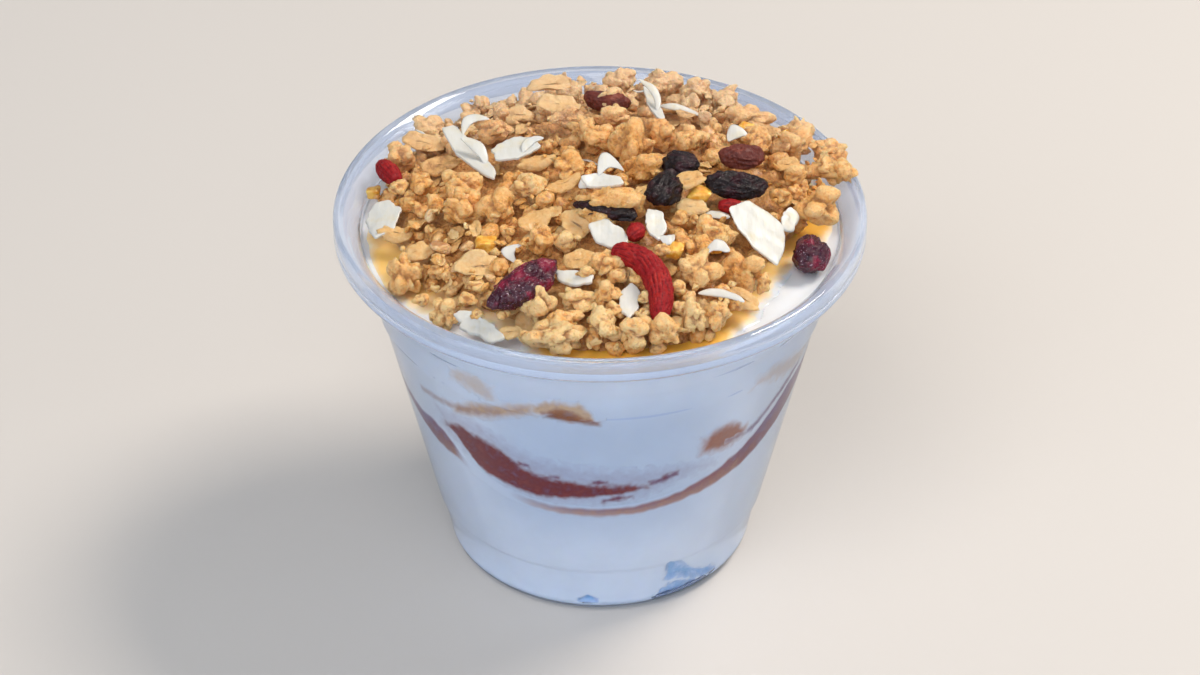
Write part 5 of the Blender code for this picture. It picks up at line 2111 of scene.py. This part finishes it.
# -------------------------------------------------------------------------- honey
@dataclass(frozen=True)
class HoneyPool:
    """Honey that has run from the heap over the yogurt."""

    filling: Filling
    heap: Heap
    # Angle, outer radius and strength of the pool's edge.
    edge: tuple[tuple[float, float, float], ...] = (
        (-180, 43.6, 0.55), (-165, 43.8, 0.70), (-152, 44.0, 0.65), (-142, 42.0, 0.55),
        (-132, 39.0, 0.45), (-122, 36.5, 0.40), (-113, 38.0, 0.55), (-104, 42.4, 0.85),
        (-96, 45.4, 1.00), (-80, 46.4, 1.10), (-66, 45.4, 1.05), (-57, 42.2, 0.90),
        (-50, 40.6, 0.70), (-42, 38.6, 0.60), (-30, 37.0, 0.55), (-18, 37.6, 0.60),
        (-8, 40.5, 0.85), (0, 43.6, 0.95), (12, 43.8, 0.90), (25, 42.0, 0.60),
        (60, 40.0, 0.5), (110, 39.0, 0.5), (150, 41.5, 0.5), (180, 43.6, 0.55))
    inner_radius: float = 24.0
    outer_radius: float = 44.2
    thickness: float = 0.55
    sunk: float = 0.9

    def cover(self, x: float, y: float) -> float:
        """Depth of honey at a place, from 0 to about 1.

        Args:
            x: Place across.
            y: Place in depth.

        Returns:
            The depth.
        """
        r, angle = math.hypot(x, y), turn_of(x, y)
        outer, strength = along(self.edge, angle)
        place = (x, y, 0.0)
        inside = outer - r + 0.9 * rough(place, 0.30, 6.0) + 0.35 * rough(place, 0.9, 2.0)
        return strength * ease(inside, -0.5, 2.6)

    def build(self) -> None:
        """Lay a ring of honey, cut it to the pool and give it its thickness."""
        rings, sides, width = 56, 420, self.outer_radius - self.inner_radius
        bm = spun([(self.inner_radius + width * i / rings, 0.0) for i in range(rings + 1)],
                  sides)
        cover_of = bm.verts.layers.float.new("cover")
        for vert in bm.verts:
            x, y = vert.co.x, vert.co.y
            vert[cover_of] = self.cover(x, y)
            body = min(1.0, vert[cover_of] * 1.4)
            climb = 0.7 * ease(math.hypot(x, y), 42.8, 44.6)
            vert.co.z = self.filling.surface(x, y) + climb + self.thickness * body ** 0.7
        bmesh.ops.translate(bm, vec=(0, 0, -self.sunk), verts=second_side(bm, cover_of))
        bmesh.ops.recalc_face_normals(bm, faces=bm.faces)
        publish(finish_mesh(bm, "honey_pool"), Honey().make(), Slot.SAUCE)


# ------------------------------------------------------------------------- studio
@dataclass(frozen=True)
class Studio:
    """Plain floor, soft lights and the camera."""

    photo: tuple[int, int] = (1200, 675)
    sensor: float = 36.0
    focal_pixels: float = 3698.1
    distance: float = 0.70
    elevation: float = math.radians(36.4)
    aim_height: float = 0.03675
    centre_row: float = 366.0

    def camera(self) -> None:
        """Place the camera in front of the cup, looking down at it."""
        lens = bpy.data.cameras.new("camera")
        lens.sensor_width = self.sensor
        lens.lens = self.sensor * self.focal_pixels / self.photo[0]
        lens.shift_y = -(self.photo[1] / 2 - self.centre_row) / self.photo[0]
        eye = linked("camera", lens)
        eye.location = (0.0, -self.distance * math.cos(self.elevation),
                        self.aim_height + self.distance * math.sin(self.elevation))
        eye.rotation_euler = (math.pi / 2 - self.elevation, 0.0, 0.0)
        bpy.context.scene.camera = eye

    def light(self, name: str, place: Sequence[float], size: float, power: float,
              colour: Colour) -> None:
        """Add one soft square light that faces the cup.

        Args:
            name: The light's name.
            place: Where it stands, in metres.
            size: Width in metres.
            power: Power in watts.
            colour: Its colour.
        """
        lamp = bpy.data.lights.new(name, "AREA")
        lamp.size, lamp.energy, lamp.color = size, power, colour
        head = linked(name, lamp)
        head.location = place
        aim = Vector((0, 0, 0.05)) - Vector(place)
        head.rotation_euler = aim.to_track_quat("-Z", "Y").to_euler()

    def build(self) -> None:
        """Set the floor, the lights, the world and the camera."""
        bm = bmesh.new()
        bmesh.ops.create_grid(bm, x_segments=2, y_segments=2, size=3000.0)
        mesh = finish_mesh(bm, "floor")
        mesh.materials.append(FloorPaint().make())
        floor = linked("floor", mesh)
        self.light("key", (0.62, 0.28, 0.92), 0.40, 10.4, (1.0, 0.93, 0.84))
        self.light("front", (-0.60, -1.60, 0.62), 2.6, 37.0, (0.74, 0.85, 1.0))
        self.light("side", (1.5, -0.7, 0.22), 1.4, 7.5, (0.72, 0.85, 1.0))
        self.light("top", (-0.25, -0.55, 1.05), 0.6, 4.2, (1.0, 0.94, 0.86))
        world = bpy.data.worlds.new("studio")
        world.use_nodes = True
        sky = world.node_tree.nodes["Background"]
        sky.inputs["Color"].default_value = (0.74, 0.85, 1.0, 1.0)
        sky.inputs["Strength"].default_value = 0.34
        bpy.context.scene.world = world
        bpy.context.scene.view_settings.view_transform = "Standard"
        self.camera()


# --------------------------------------------------------------------------- main
def main() -> None:
    """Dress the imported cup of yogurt."""
    logging.basicConfig(level=logging.INFO, format="%(message)s")
    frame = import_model()
    cup = Cup()
    cup.build()
    filling = Filling(cup)
    filling.build()
    heap = Heap(filling)
    build_core(heap)
    HoneyPool(filling, heap).build()
    grid = HeightMap(heap.core_top)
    scatter = Scatter(heap, grid, random.Random(heap.seed))
    scatter.prepare()
    toppings = Toppings().build(frame["nodes"])
    for helping in UNDER:
        scatter.fill(helping)
    for points in toppings:
        grid.cover(points, claim=True)
    grid.spread_claims(2)
    scatter.named()
    for helping in OVER:
        scatter.fill(helping)
    scatter.publish()
    Studio().build()


if __name__ == "__main__":
    main()
